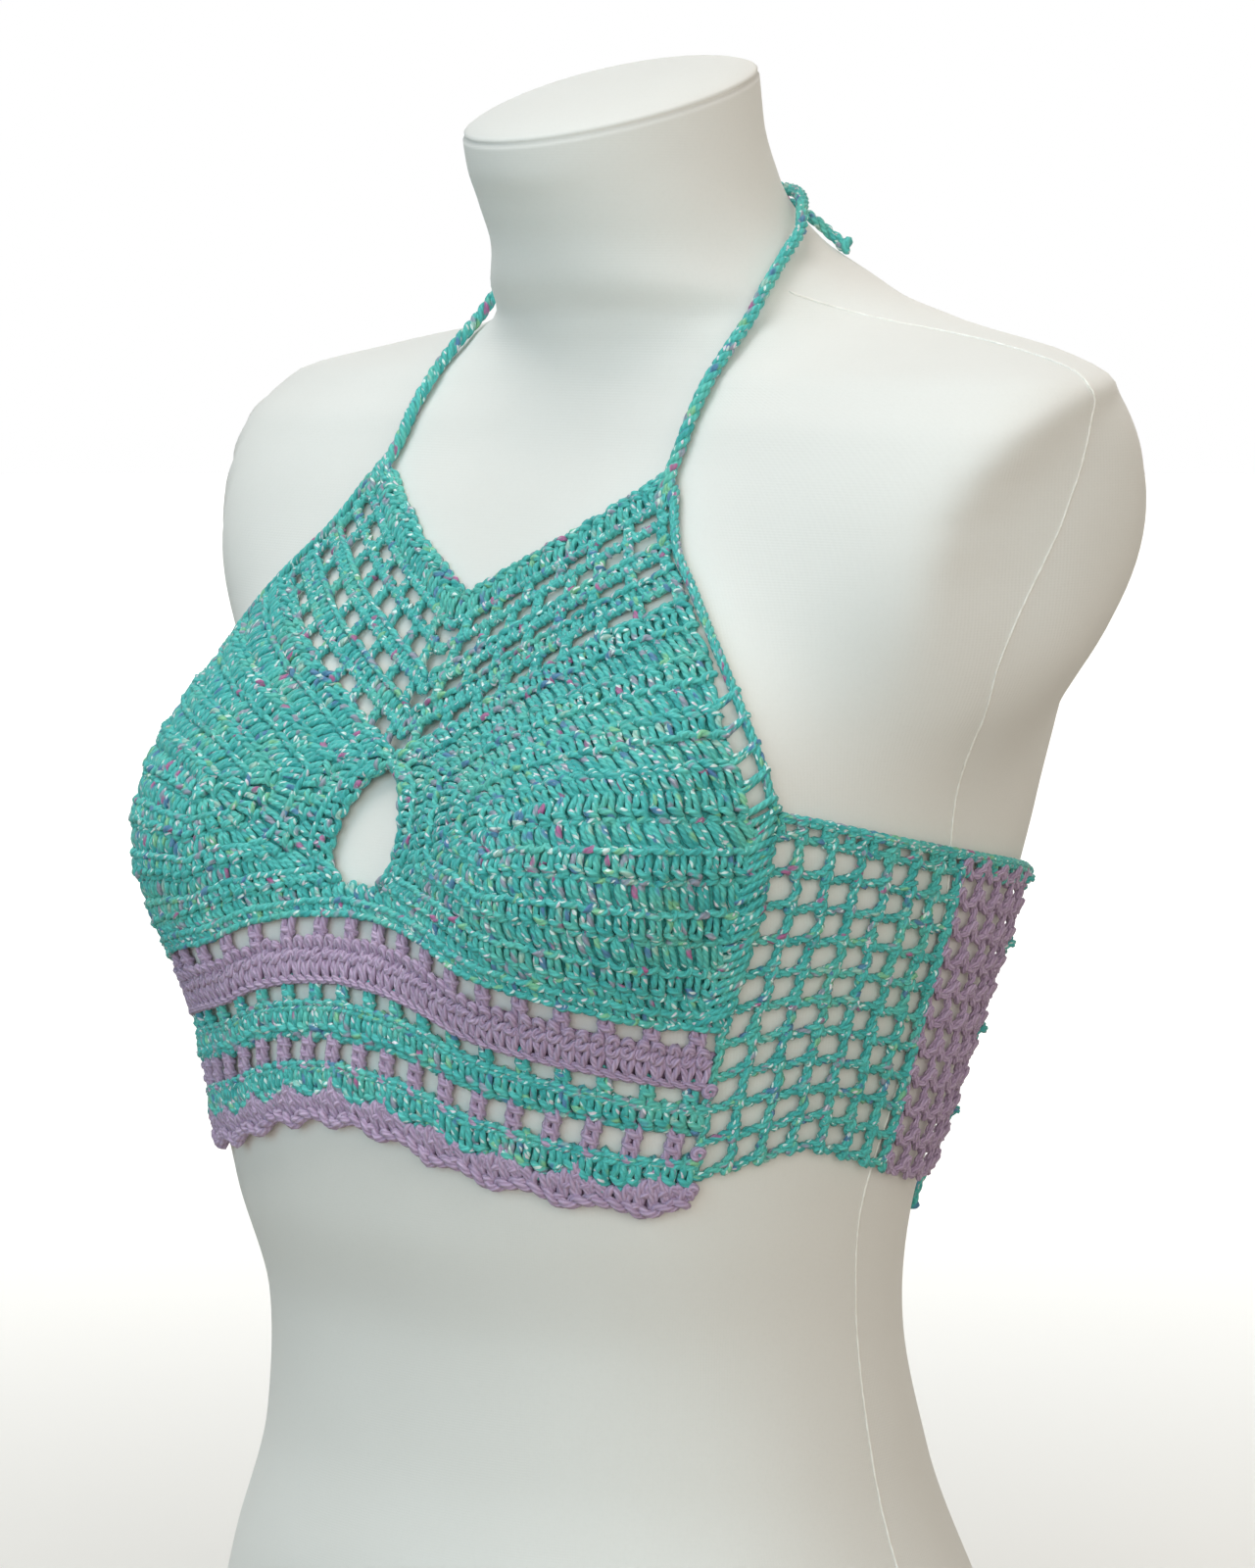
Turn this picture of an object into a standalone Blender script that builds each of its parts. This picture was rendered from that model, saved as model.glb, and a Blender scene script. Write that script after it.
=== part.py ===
"""Crochet halter top on a limbless dress form.

Metres, +Z up, the form faces -Y, +X is the wearer's left. The form stands on
its flat base at Z = 0. Lengths in the tables are centimetres, heights are above
the waist line and angles are degrees from the centre front, round the form.
"""

import bmesh
import bpy
import numpy as np

CM = 0.01
WAIST = 16.0  # height of the waist line above the base
SHIFT_Y = -1.23  # puts the middle of the whole in depth on Y = 0

# ------------------------------------------------------------------ the form
# height, half width, centre of depth, depth in front, depth behind, roundness behind and in front
FORM_SECTIONS = np.array([
    (-16.0, 16.2, 1.4, 10.0, 11.6, 2.25, 2.25),
    (-12.0, 15.6, 1.0, 9.8, 11.0, 2.25, 2.25),
    (-8.4, 14.0, 0.3, 9.4, 10.0, 2.20, 2.20),
    (-4.0, 12.2, 0.1, 8.7, 8.9, 2.20, 2.20),
    (0.0, 11.65, -0.25, 8.5, 8.4, 2.20, 2.20),
    (4.0, 12.4, -0.75, 9.1, 8.8, 2.20, 2.20),
    (8.0, 13.4, -0.35, 10.0, 9.65, 2.20, 2.20),
    (11.0, 13.9, 0.1, 10.2, 10.5, 2.20, 2.20),
    (14.0, 14.3, 0.8, 10.0, 11.0, 2.20, 2.20),
    (17.0, 14.5, 1.4, 9.5, 11.3, 2.25, 2.25),
    (20.0, 14.8, 2.0, 8.6, 11.3, 2.30, 2.30),
    (23.0, 15.2, 2.4, 7.5, 10.8, 2.25, 2.25),
    (26.0, 16.0, 2.8, 6.3, 9.8, 2.15, 2.15),
    (28.5, 16.6, 3.05, 5.0, 8.35, 2.10, 2.15),
    (30.0, 16.35, 3.4, 4.6, 7.7, 2.08, 1.68),
    (31.1, 13.0, 5.3, 6.3, 5.5, 2.15, 1.55),
    (32.0, 8.65, 6.4, 7.5, 4.1, 2.20, 1.90),
    (33.2, 6.3, 4.8, 6.6, 5.0, 2.50, 2.30),
    (34.6, 5.2, 2.85, 5.15, 5.6, 2.05, 2.15),
    (36.0, 4.85, 1.55, 4.5, 5.3, 2.03, 2.03),
    (37.6, 4.75, 1.2, 4.75, 4.8, 2.00, 2.00),
    (39.6, 4.75, 0.9, 4.8, 4.8, 2.00, 2.00),
])
BUST = dict(x=8.4, z=16.2, height=3.5, width=5.0, above=6.4, below=5.0)
SHOULDER = dict(z=25.6, height=4.0, spread=0.40, tall=6.0, cut=18.6, soft=0.9)
NECK_RIM, NECK_TILT, CAP_RISE = 38.9, 0.29, 0.95
FORM_ROUND = 64
# height of the first ring and the step up to the next table row
FORM_RINGS = ((-14.7, 1.3), (26.9, 0.58), (35.0, 0.75))

# ---------------------------------------------------------------- the garment
CLEAR, CLOTH = 0.12, 0.24  # gap to the form, thickness of the crochet
SEAM = 0.016  # half of the gap between two pieces
SIDE, BACK_JOIN, BACK_EDGE = 65.5, 95.0, 120.0

# The cup is worked round a foundation from the side to the bust point. Each row
# of this table is a station along every crochet row: s is the tape length round
# the form from the centre front and z the height, at the foundation (f), at the
# outer edge (e) and at a plain corner (c) that the inner rows turn on.
#   t      fs     fz     es     ez     cs     cz
CUP_STATIONS = np.array([
    (0.000, 15.50, 18.05, 9.78, 23.38, 9.78, 23.38),
    (0.070, 14.10, 18.00, 8.76, 22.92, 8.76, 22.92),
    (0.150, 12.40, 17.90, 7.30, 22.15, 7.30, 22.15),
    (0.230, 10.60, 17.78, 6.00, 21.35, 6.00, 21.35),
    (0.300, 8.90, 17.45, 4.90, 20.75, 4.90, 20.75),
    (0.350, 7.60, 17.00, 3.90, 20.25, 3.90, 20.25),
    (0.400, 7.60, 17.00, 2.00, 19.20, 2.00, 19.20),
    (0.445, 7.60, 17.00, 0.02, 18.10, 0.10, 18.00),
    (0.465, 7.60, 17.00, 0.80, 17.55, 0.20, 17.30),
    (0.490, 7.60, 17.00, 1.35, 16.70, 0.40, 16.50),
    (0.515, 7.60, 17.00, 1.62, 15.80, 0.60, 15.60),
    (0.540, 7.60, 17.00, 1.55, 15.00, 1.00, 14.80),
    (0.560, 7.60, 17.00, 1.00, 14.42, 1.60, 14.25),
    (0.600, 7.60, 17.00, 3.00, 14.02, 3.00, 14.02),
    (0.650, 7.60, 17.00, 5.00, 13.65, 5.00, 13.65),
    (0.700, 7.60, 17.00, 7.00, 12.98, 7.00, 12.98),
    (0.750, 8.90, 17.45, 8.60, 12.68, 8.60, 12.68),
    (0.820, 10.60, 17.78, 10.50, 12.30, 10.50, 12.30),
    (0.900, 12.60, 17.90, 12.60, 11.88, 12.60, 11.88),
    (1.000, 15.50, 18.05, 14.90, 11.65, 14.90, 11.65),
])
CUP_ROWS = 7
CUP_ARM, CUP_TURN, CUP_CENTRE = 8, (0.35, 0.70), 0.445

# The neckline of the openwork yoke, at the same stations.
#   t      s     z
NECKLINE = np.array([
    (0.000, 6.85, 27.15),
    (0.070, 6.15, 26.68),
    (0.150, 5.40, 26.20),
    (0.230, 4.60, 25.70),
    (0.300, 3.70, 25.16),
    (0.350, 2.85, 24.68),
    (0.400, 1.50, 23.98),
    (0.445, 0.00, 23.20),
])
YOKE_ROWS = 6

# Lines across the front, each the height at an angle from the centre.
BAND_ANGLES = np.array([0, 12, 22, 30, 40, 48, 57, 65.5])
BAND_LINES = dict(
    cup_low=(14.30, 14.12, 13.78, 13.12, 12.70, 12.32, 11.88, 11.66),
    cup_bottom=(13.35, 13.20, 12.85, 12.20, 11.75, 11.35, 10.92, 10.70),
    lilac_bottom=(11.40, 11.25, 10.90, 10.35, 9.90, 9.58, 9.20, 8.95),
    teal_bottom=(9.60, 9.42, 9.12, 8.62, 8.20, 7.92, 7.58, 7.40),
    posts_bottom=(8.88, 8.70, 8.35, 7.85, 7.42, 7.12, 6.80, 6.68),
    row_bottom=(7.95, 7.75, 7.35, 6.88, 6.48, 6.22, 5.95, 5.95),
    hem=(7.05, 6.85, 6.42, 5.96, 5.58, 5.32, 5.08, 5.12),
)
SHELLS, SHELL_DROP = 11, 0.14

# Top and bottom of the side and back mesh, round to the back edge.
WRAP_ANGLES = np.array([65.5, 72.5, 79.5, 87.5, 97.5, 110, 120])
WRAP_TOP = (17.25, 16.90, 16.50, 16.08, 15.60, 15.10, 14.75)
WRAP_HEM = (6.25, 6.70, 7.05, 6.62, 5.95, 5.45, 5.45)
EDGING = 0.50  # height of the teal row along the top

# Armhole edge, from the strap down to the corner at the side.
#   v     s      z
ARMHOLE = np.array([
    (0.00, 7.36, 26.74),
    (0.14, 7.82, 25.92),
    (0.30, 8.54, 24.87),
    (0.46, 9.85, 23.70),
    (0.60, 11.68, 22.05),
    (0.75, 13.75, 20.25),
    (0.90, 15.90, 18.35),
    (1.00, 16.78, 17.38),
])
EDGE_CORD, ARMHOLE_BOW = 0.34, 0.42

# Strap from the yoke's corner, taut past the neck and round to the nape.
#   x     y     z
STRAP = np.array([
    (6.86, -2.62, 27.38), (6.79, -2.22, 28.0), (6.74, -1.67, 29.0), (6.67, -0.95, 30.03),
    (6.61, -0.04, 31.03), (6.52, 0.98, 32.0), (6.37, 1.93, 33.1), (6.02, 3.12, 34.15),
    (5.52, 4.18, 34.84), (4.78, 4.95, 35.45), (3.90, 5.78, 35.86), (2.66, 6.58, 36.14),
    (1.02, 7.16, 36.28),
])
STRAP_THICK = 0.44
KNOT = dict(z=36.22, wide=0.60, deep=0.42, tall=0.46)
LACE_THICK, LACE_OFF, LACE_LEVELS = 0.26, 0.34, (14.0, 12.3, 9.6, 7.0)

COLOURS = dict(
    jersey=((0.80, 0.79, 0.76), 0.85),
    teal=((0.075, 0.38, 0.33), 0.62),
    lilac=((0.33, 0.23, 0.36), 0.85),
)


def curve(keys, values):
    """A smooth line through the values that never overshoots them."""
    x, y = np.asarray(keys, float), np.asarray(values, float)
    h, d = np.diff(x), np.diff(y) / np.diff(x)
    m = np.zeros(len(x))
    both = d[:-1] * d[1:] > 0
    w1, w2 = 2 * h[1:] + h[:-1], h[1:] + 2 * h[:-1]
    with np.errstate(divide="ignore", invalid="ignore"):
        inner = (w1 + w2) / (w1 / d[:-1] + w2 / d[1:])
    m[1:-1] = np.where(both, inner, 0)
    m[0], m[-1] = d[0], d[-1]

    def at(q):
        q = np.clip(np.asarray(q, float), x[0], x[-1])
        i = np.clip(np.searchsorted(x, q, side="right") - 1, 0, len(h) - 1)
        t = (q - x[i]) / h[i]
        return (
            y[i] * (2 * t**3 - 3 * t**2 + 1)
            + m[i] * h[i] * (t**3 - 2 * t**2 + t)
            + y[i + 1] * (3 * t**2 - 2 * t**3)
            + m[i + 1] * h[i] * (t**3 - t**2)
        )

    return at


SECTION = [curve(FORM_SECTIONS[:, 0], FORM_SECTIONS[:, i]) for i in range(1, 7)]


def radius(th, z):
    """How far the form's surface is from its middle, and where that middle is."""
    half, middle, front, back, round_back, round_front = (line(z) for line in SECTION)
    c, s = np.cos(th), np.sin(th)
    depth, power = np.where(c > 0, front, back), np.where(c > 0, round_front, round_back)
    r = (np.abs(s / half) ** power + np.abs(c / depth) ** power) ** (-1 / power)
    swell = 0
    for side in (1, -1):
        dx = (r * s - side * BUST["x"]) / BUST["width"]
        dz = z - BUST["z"]
        dz = np.where(dz > 0, dz / BUST["above"], dz / BUST["below"])
        shape = np.exp(-((dx**2 + dz**2) ** 1.15))
        swell = swell + BUST["height"] * shape * np.clip((c + 0.2) / 0.8, 0, 1)
    r = r + swell
    turn = np.abs(np.abs(np.angle(np.exp(1j * th))) - np.pi / 2)
    far = (turn / SHOULDER["spread"]) ** 2 + ((z - SHOULDER["z"]) / SHOULDER["tall"]) ** 2
    r = r + SHOULDER["height"] * np.exp(-(far**1.6))
    x = np.abs(r * s) + 1e-6
    soft = SHOULDER["soft"]
    cut = SHOULDER["cut"] - soft * np.log1p(np.exp(-(x - SHOULDER["cut"]) / soft))
    return np.where((z > 14) & (x > 10), r * cut / x, r), middle


def surface(th, z, out=0.0, cloth=False):
    """Points on the form, moved out along its normal. Cloth bridges the middle of the bust."""
    th, z = np.broadcast_arrays(np.asarray(th, float), np.asarray(z, float))

    def raw(a, h):
        r, middle = radius(a, h)
        if cloth:
            r = r + 0.28 * np.exp(-((a / 0.20) ** 2)) * np.exp(-(((h - 17.5) / 3.2) ** 2))
        return np.stack([r * np.sin(a), middle - r * np.cos(a), h + 0 * a], -1)

    e = 1e-3
    across = raw(th + e, z) - raw(th - e, z)
    up = raw(th, z + e) - raw(th, z - e)
    normal = np.cross(across, up)
    normal /= np.linalg.norm(normal, axis=-1, keepdims=True)
    return raw(th, z) + normal * np.asarray(out, float)[..., None]


# Tape length round the front at each height, and the angle it stands for.
TAPE_Z = np.arange(4.0, 30.01, 0.25)
TAPE_TH = np.radians(np.arange(0, 181, 1.0))
_ring = surface(TAPE_TH[None, :], TAPE_Z[:, None], CLEAR + CLOTH, True)
TAPE_S = np.concatenate(
    [
        np.zeros((len(TAPE_Z), 1)),
        np.cumsum(np.linalg.norm(np.diff(_ring[..., :2], axis=1), axis=-1), axis=1),
    ],
    axis=1,
)


def tape_at(z):
    """Tape length at each whole degree, at height z."""
    k = np.clip((z - TAPE_Z[0]) / 0.25, 0, len(TAPE_Z) - 1.001)
    return TAPE_S[int(k)] + (TAPE_S[int(k) + 1] - TAPE_S[int(k)]) * (k - int(k))


def angle_at(s, z):
    """The angle, in radians, at tape length s from the centre front and height z."""
    s, z = np.broadcast_arrays(np.asarray(s, float), np.asarray(z, float))
    k = np.clip((z - TAPE_Z[0]) / 0.25, 0, len(TAPE_Z) - 1.001)
    low = k.astype(int)
    found = np.empty(s.shape)
    for i in np.ndindex(s.shape):
        a = np.interp(abs(s[i]), TAPE_S[low[i]], TAPE_TH)
        b = np.interp(abs(s[i]), TAPE_S[low[i] + 1], TAPE_TH)
        found[i] = np.sign(s[i]) * (a + (b - a) * (k[i] - low[i]))
    return found


def metres(points):
    points = np.array(points, float)
    points[..., 1] += SHIFT_Y
    points[..., 2] += WAIST
    return points * CM


# ------------------------------------------------------------- making objects
for old in list(bpy.data.objects):
    bpy.data.objects.remove(old, do_unlink=True)
top = bpy.data.collections.new("Crochet halter top")
bpy.context.scene.collection.children.link(top)


def material(name):
    colour, rough = COLOURS[name]
    made = bpy.data.materials.get(name)
    if made is None:
        made = bpy.data.materials.new(name)
        made.use_nodes = True
        shader = made.node_tree.nodes["Principled BSDF"]
        shader.inputs["Base Color"].default_value = (*colour, 1)
        shader.inputs["Roughness"].default_value = rough
        shader.inputs["Metallic"].default_value = 0.0
    return made


def put(name, data, finish):
    data.materials.append(material(finish))
    made = bpy.data.objects.new(name, data)
    top.objects.link(made)
    return made


def mesh_object(name, points, faces, finish, smooth=True):
    data = bpy.data.meshes.new(name)
    data.from_pydata([tuple(p) for p in points], [], [tuple(int(i) for i in f) for f in faces])
    bm = bmesh.new()
    bm.from_mesh(data)
    bmesh.ops.remove_doubles(bm, verts=bm.verts, dist=2e-6)
    bmesh.ops.recalc_face_normals(bm, faces=bm.faces)
    bm.to_mesh(data)
    bm.free()
    for face in data.polygons:
        face.use_smooth = smooth
    return put(name, data, finish)


def wall(name, th, z, faces, finish):
    """A closed wall of cloth over a net of points on the form's surface."""
    keys = np.round(np.stack([th, z], -1), 7)
    keep, where = np.unique(keys, axis=0, return_inverse=True)
    where = where.reshape(-1)
    th, z = keep[:, 0], keep[:, 1]
    cleaned = []
    for face in faces:
        ring = []
        for i in where[list(face)]:
            if i not in ring:
                ring.append(int(i))
        if len(ring) > 2:
            cleaned.append(ring)
    inner = metres(surface(th, z, CLEAR, True))
    outer = metres(surface(th, z, CLEAR + CLOTH, True))
    n = len(th)
    edges = {}
    for ring in cleaned:
        for a, b in zip(ring, ring[1:] + ring[:1]):
            if (b, a) in edges:
                del edges[(b, a)]
            else:
                edges[(a, b)] = True
    solid = [[i + n for i in ring] for ring in cleaned]
    solid += [ring[::-1] for ring in cleaned]
    solid += [[a, b, b + n, a + n] for a, b in edges]
    return mesh_object(name, np.concatenate([inner, outer]), solid, finish)


def net(columns, rows):
    """Faces of a net of columns x rows cells, points counted row by row."""
    return [
        (j * (columns + 1) + i, j * (columns + 1) + i + 1,
         (j + 1) * (columns + 1) + i + 1, (j + 1) * (columns + 1) + i)
        for j in range(rows)
        for i in range(columns)
    ]


def tube(name, points, thick, finish, sides=2):
    data = bpy.data.curves.new(name, "CURVE")
    data.dimensions = "3D"
    data.bevel_depth = thick * CM / 2
    data.bevel_resolution = sides
    data.use_fill_caps = True
    line = data.splines.new("POLY")
    line.points.add(len(points) - 1)
    for point, place in zip(line.points, metres(points)):
        point.co = (*place, 1)
    return put(name, data, finish)


def even(points, step):
    """The same route with its points evenly apart."""
    points = np.asarray(points, float)
    far = np.concatenate([[0], np.cumsum(np.linalg.norm(np.diff(points, axis=0), axis=1))])
    count = max(4, int(round(far[-1] / step)))
    at = np.linspace(0, far[-1], count + 1)
    return np.stack([np.interp(at, far, points[:, i]) for i in range(3)], -1)


# ------------------------------------------------------------------- the form
EDGE_Z = (20.5, 22.9, 24.5, 26.0, 27.25, 28.25, 29.0, 29.5, 30.2)
EDGE_TH = (77.0, 76.4, 76.0, 76.8, 79.2, 82.4, 86.0, 90.0, 97.0)


def form_radius(th, z):
    """The form with the flat side where an arm would be, and the soft edge in front of it."""
    r, middle = radius(th, z)
    turn = np.abs(np.angle(np.exp(1j * np.asarray(th))))
    edge = np.radians(np.interp(z, EDGE_Z, EDGE_TH))
    back = edge + np.radians(np.interp(z, [20, 27.5, 30.5], [19, 15, 9]))
    share = np.interp(z, [20.0, 22.0, 24.0, 27.0, 28.6, 29.8, 31.2],
                      [0, 0.45, 0.85, 0.85, 0.62, 0.25, 0])
    near, far = radius(edge, z)[0], radius(back, z)[0]
    off = near * np.sin(turn - edge) + far * np.sin(back - turn)
    chord = near * far * np.sin(back - edge) / np.where(off > 1e-3, off, 1e-3)
    deep = np.clip(r - chord, -6, 6)
    cut = 0.5 * (deep + np.sqrt(deep**2 + 0.04)) * share
    rise = np.interp(z, [19.5, 22.5, 25.0, 29.0, 31.0, 32.0], [0, 0.12, 0.24, 0.22, 0.10, 0])
    away = np.sqrt((np.abs(turn - edge) / 0.135) ** 2 + 0.05) - 0.2236
    return r - cut + rise * np.clip(1 - away, 0, None) ** 1.5, middle


def build_form():
    ends = [start for start, _ in FORM_RINGS[1:]] + [NECK_RIM - 0.3]
    levels = [-16.0, -15.75]
    for (start, step), end in zip(FORM_RINGS, ends):
        levels += list(np.arange(start, end - 0.3 * step, step))
    levels = np.array(levels + [NECK_RIM - 0.12])
    turn = np.arange(FORM_ROUND) * 2 * np.pi / FORM_ROUND
    rings = []
    for z in levels:
        r, middle = form_radius(turn, np.full_like(turn, z))
        r = r * (0.985 if z == -16.0 else 1.0)
        lean = np.clip((z - 34.5) / (NECK_RIM - 34.5), 0, 1)
        lean = NECK_TILT * lean * lean * (3 - 2 * lean)
        rings.append(np.stack([r * np.sin(turn), middle - r * np.cos(turn),
                               z - lean * r * np.cos(turn)], -1))
    r, middle = radius(turn, np.full_like(turn, NECK_RIM))
    for scale, rise in ((0.982, 0.0), (0.99, 0.10), (0.955, 0.26), (0.87, 0.44),
                        (0.68, 0.68), (0.42, 0.86), (0.18, 0.94)):
        rings.append(np.stack([
            r * scale * np.sin(turn), middle - r * scale * np.cos(turn),
            NECK_RIM + rise * CAP_RISE - NECK_TILT * r * scale * np.cos(turn)], -1))
    points = np.concatenate(rings)
    count, n = len(rings), FORM_ROUND
    base = [0.0, float(SECTION[1](-16.0)), -16.0]
    peak = [0.0, float(middle[0]), NECK_RIM + CAP_RISE * 0.955]
    points = np.concatenate([points, [base, peak]])
    faces = [(j * n + i, j * n + (i + 1) % n, (j + 1) * n + (i + 1) % n, (j + 1) * n + i)
             for j in range(count - 1) for i in range(n)]
    faces += [((i + 1) % n, i, count * n) for i in range(n)]
    faces += [((count - 1) * n + i, (count - 1) * n + (i + 1) % n, count * n + 1) for i in range(n)]
    mesh_object("dress_form", metres(points), faces, "jersey")


# ------------------------------------------------------------------- the cups
BAND = {name: curve(BAND_ANGLES, line) for name, line in BAND_LINES.items()}
CUP_LINES = [curve(CUP_STATIONS[:, 0], CUP_STATIONS[:, i]) for i in range(1, 7)]
NECK_LINES = [curve(NECKLINE[:, 0], NECKLINE[:, i]) for i in (1, 2)]


def matching(t, line, values):
    """The stations, from t[0] to t[1], where a line of the table takes these values."""
    fine = np.linspace(t[0], t[1], 600)
    got = line(fine)
    turn = np.argsort(got)
    return np.interp(values, got[turn], fine[turn])


FOUNDATION = np.linspace(CUP_LINES[0](0.0), CUP_LINES[0](CUP_TURN[0]), CUP_ARM + 1)
UPPER = matching((0, CUP_TURN[0]), CUP_LINES[0], FOUNDATION)
LOWER = matching((CUP_TURN[1], 1), CUP_LINES[0], FOUNDATION)[::-1]
MIDDLE = np.array([0.375, 0.40, 0.4225, CUP_CENTRE, 0.465, 0.49, 0.515, 0.54, 0.56,
                   0.58, 0.60, 0.625, 0.65, 0.675])
CUP_T = np.concatenate([UPPER, MIDDLE, LOWER])


def cup_place(t, q):
    """Tape length and height at station t, q of the way from foundation to edge."""
    fs, fz, es, ez, cs, cz = (line(t) for line in CUP_LINES)
    blend = np.clip((q - 0.5) / 0.5, 0, 1)
    blend = blend * blend * (3 - 2 * blend)
    bs, bz = cs + (es - cs) * blend, cz + (ez - cz) * blend
    return fs + (bs - fs) * q, fz + (bz - fz) * q


def build_cup(name, side):
    t, q = np.meshgrid(CUP_T, np.linspace(0, 1, CUP_ROWS + 1))
    s, z = cup_place(t, q)
    # the lower arm ends on the side seam, which bulges with the bust
    seam = np.array([np.interp(SIDE - 0.15, np.degrees(TAPE_TH), tape_at(h)) for h in z[:, -1]])
    share = np.clip((t[0] - CUP_TURN[1]) / (1 - CUP_TURN[1]), 0, 1) ** 1.5
    s = s + share * np.where(q[:, -1:] > 0, (seam - s[:, -1])[:, None], 0)
    arm = CUP_ARM + 1
    s[0, -arm:], z[0, -arm:] = s[0, :arm][::-1], z[0, :arm][::-1]
    under = CUP_T >= 0.56
    z[-1, ~under] -= SEAM * 1.6
    th = angle_at(s, z)
    z[-1, under] = BAND["cup_low"](np.degrees(th[-1, under])) + SEAM
    th[:, CUP_T == CUP_CENTRE] = np.maximum(th[:, CUP_T == CUP_CENTRE], 0.0022)
    wall(name, side * th.ravel(), z.ravel(), net(len(CUP_T) - 1, CUP_ROWS), "teal")


def build_yoke(name, side):
    t = CUP_T[CUP_T <= CUP_CENTRE]
    t, q = np.meshgrid(t, np.linspace(0, 1, YOKE_ROWS + 1))
    ls, lz = (line(t) for line in CUP_LINES[2:4])
    ts, tz = (line(t) for line in NECK_LINES)
    lz = lz + SEAM * 1.6
    s, z = ls + (ts - ls) * q, lz + (tz - lz) * q
    s[:, 0] -= ARMHOLE_BOW * 4 * q[:, 0] * (1 - q[:, 0])
    th = angle_at(s, z)
    th[:, -1] = np.maximum(th[:, -1], 0.0022)
    wall(name, side * th.ravel(), z.ravel(), net(t.shape[1] - 1, YOKE_ROWS), "teal")


# ------------------------------------------------------------ bands and sides
TOP_LINE, HEM_LINE = curve(WRAP_ANGLES, WRAP_TOP), curve(WRAP_ANGLES, WRAP_HEM)


def strip(name, start, end, low, high, columns, rows, finish):
    """Cloth between two lines of height, from one angle to another."""
    deg = np.linspace(start, end, columns + 1)
    zl, zh = low(deg) + SEAM, high(deg) - SEAM
    q = np.linspace(0, 1, rows + 1)[:, None]
    z = zl + (zh - zl) * q
    th = np.radians(np.broadcast_to(deg, z.shape))
    wall(name, th.ravel(), z.ravel(), net(columns, rows), finish)


def build_front():
    gap = 0.07  # degrees: half a seam at the side
    a, b = -SIDE + gap, SIDE - gap
    line = {k: (lambda deg, f=f: f(np.abs(deg))) for k, f in BAND.items()}
    strip("cup_base_row", a, b, line["cup_bottom"], line["cup_low"], 40, 1, "teal")
    strip("lilac_band", a, b, line["lilac_bottom"], line["cup_bottom"], 40, 2, "lilac")
    strip("teal_band", a, b, line["teal_bottom"], line["lilac_bottom"], 40, 2, "teal")
    strip("lilac_post_row", a, b, line["posts_bottom"], line["teal_bottom"], 40, 1, "lilac")
    strip("teal_row", a, b, line["row_bottom"], line["posts_bottom"], 40, 1, "teal")

    def scalloped(deg):
        phase = (deg + SIDE) / (2 * SIDE) * SHELLS
        return line["hem"](deg) + SHELL_DROP * (np.abs(np.cos(np.pi * phase)) * 2 - 1)

    strip("scallop_edging", a, b, scalloped, line["row_bottom"], SHELLS * 4, 1, "lilac")


def build_wrap(side, word):
    gap = 0.07

    def ends(a, b):
        return (a, b) if side > 0 else (-b, -a)

    def top_line(deg):
        return TOP_LINE(np.abs(deg))

    def under_edging(deg):
        return TOP_LINE(np.abs(deg)) - EDGING

    def hem_line(deg):
        return HEM_LINE(np.abs(deg))

    strip(f"side_mesh_{word}", *ends(SIDE + gap, BACK_JOIN - gap), hem_line, under_edging, 8, 9,
          "teal")
    strip(f"back_mesh_{word}", *ends(BACK_JOIN + gap, BACK_EDGE), hem_line, under_edging, 7, 8,
          "lilac")
    strip(f"top_edging_{word}", *ends(SIDE + 0.9, BACK_EDGE), under_edging, top_line, 16, 1,
          "teal")


# -------------------------------------------------------------------- cords
def build_armhole(side, word):
    lines = [curve(ARMHOLE[:, 0], ARMHOLE[:, i]) for i in (1, 2)]
    v = np.linspace(0, 1, 160)
    s, z = lines[0](v), lines[1](v)
    route = surface(angle_at(s, z) * side, z, CLEAR + 0.14, True)
    tube(f"armhole_edge_{word}", even(route, 0.62), EDGE_CORD, "teal")


def build_strap(side, word):
    v = np.linspace(0, 1, len(STRAP))
    lines = [curve(v, STRAP[:, i]) for i in range(3)]
    q = np.linspace(0, 1, 400)
    route = np.stack([side * lines[0](q), lines[1](q), lines[2](q)], -1)
    tube(f"strap_{word}", even(route, 0.85), STRAP_THICK, "teal", 3)


def build_knot():
    turn, rise = 14, 8
    centre = surface(np.pi, KNOT["z"], KNOT["deep"] + 0.27).reshape(3)
    points, faces = [], []
    for j in range(1, rise):
        b = np.pi * j / rise
        for i in range(turn):
            a = 2 * np.pi * i / turn
            bulge = 1 + 0.10 * np.cos(3 * a + 2 * b)
            points.append(centre + np.array([
                KNOT["wide"] * np.sin(b) * np.cos(a) * bulge,
                KNOT["deep"] * np.sin(b) * np.sin(a),
                KNOT["tall"] * np.cos(b) * bulge]))
    n = len(points)
    points += [centre + (0, 0, KNOT["tall"]), centre - (0, 0, KNOT["tall"])]
    for j in range(rise - 2):
        for i in range(turn):
            faces.append((j * turn + i, j * turn + (i + 1) % turn,
                          (j + 1) * turn + (i + 1) % turn, (j + 1) * turn + i))
    for i in range(turn):
        faces.append((n, (i + 1) % turn, i))
        faces.append((n + 1, (rise - 2) * turn + i, (rise - 2) * turn + (i + 1) % turn))
    mesh_object("nape_knot", metres(points), faces, "teal")


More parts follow.
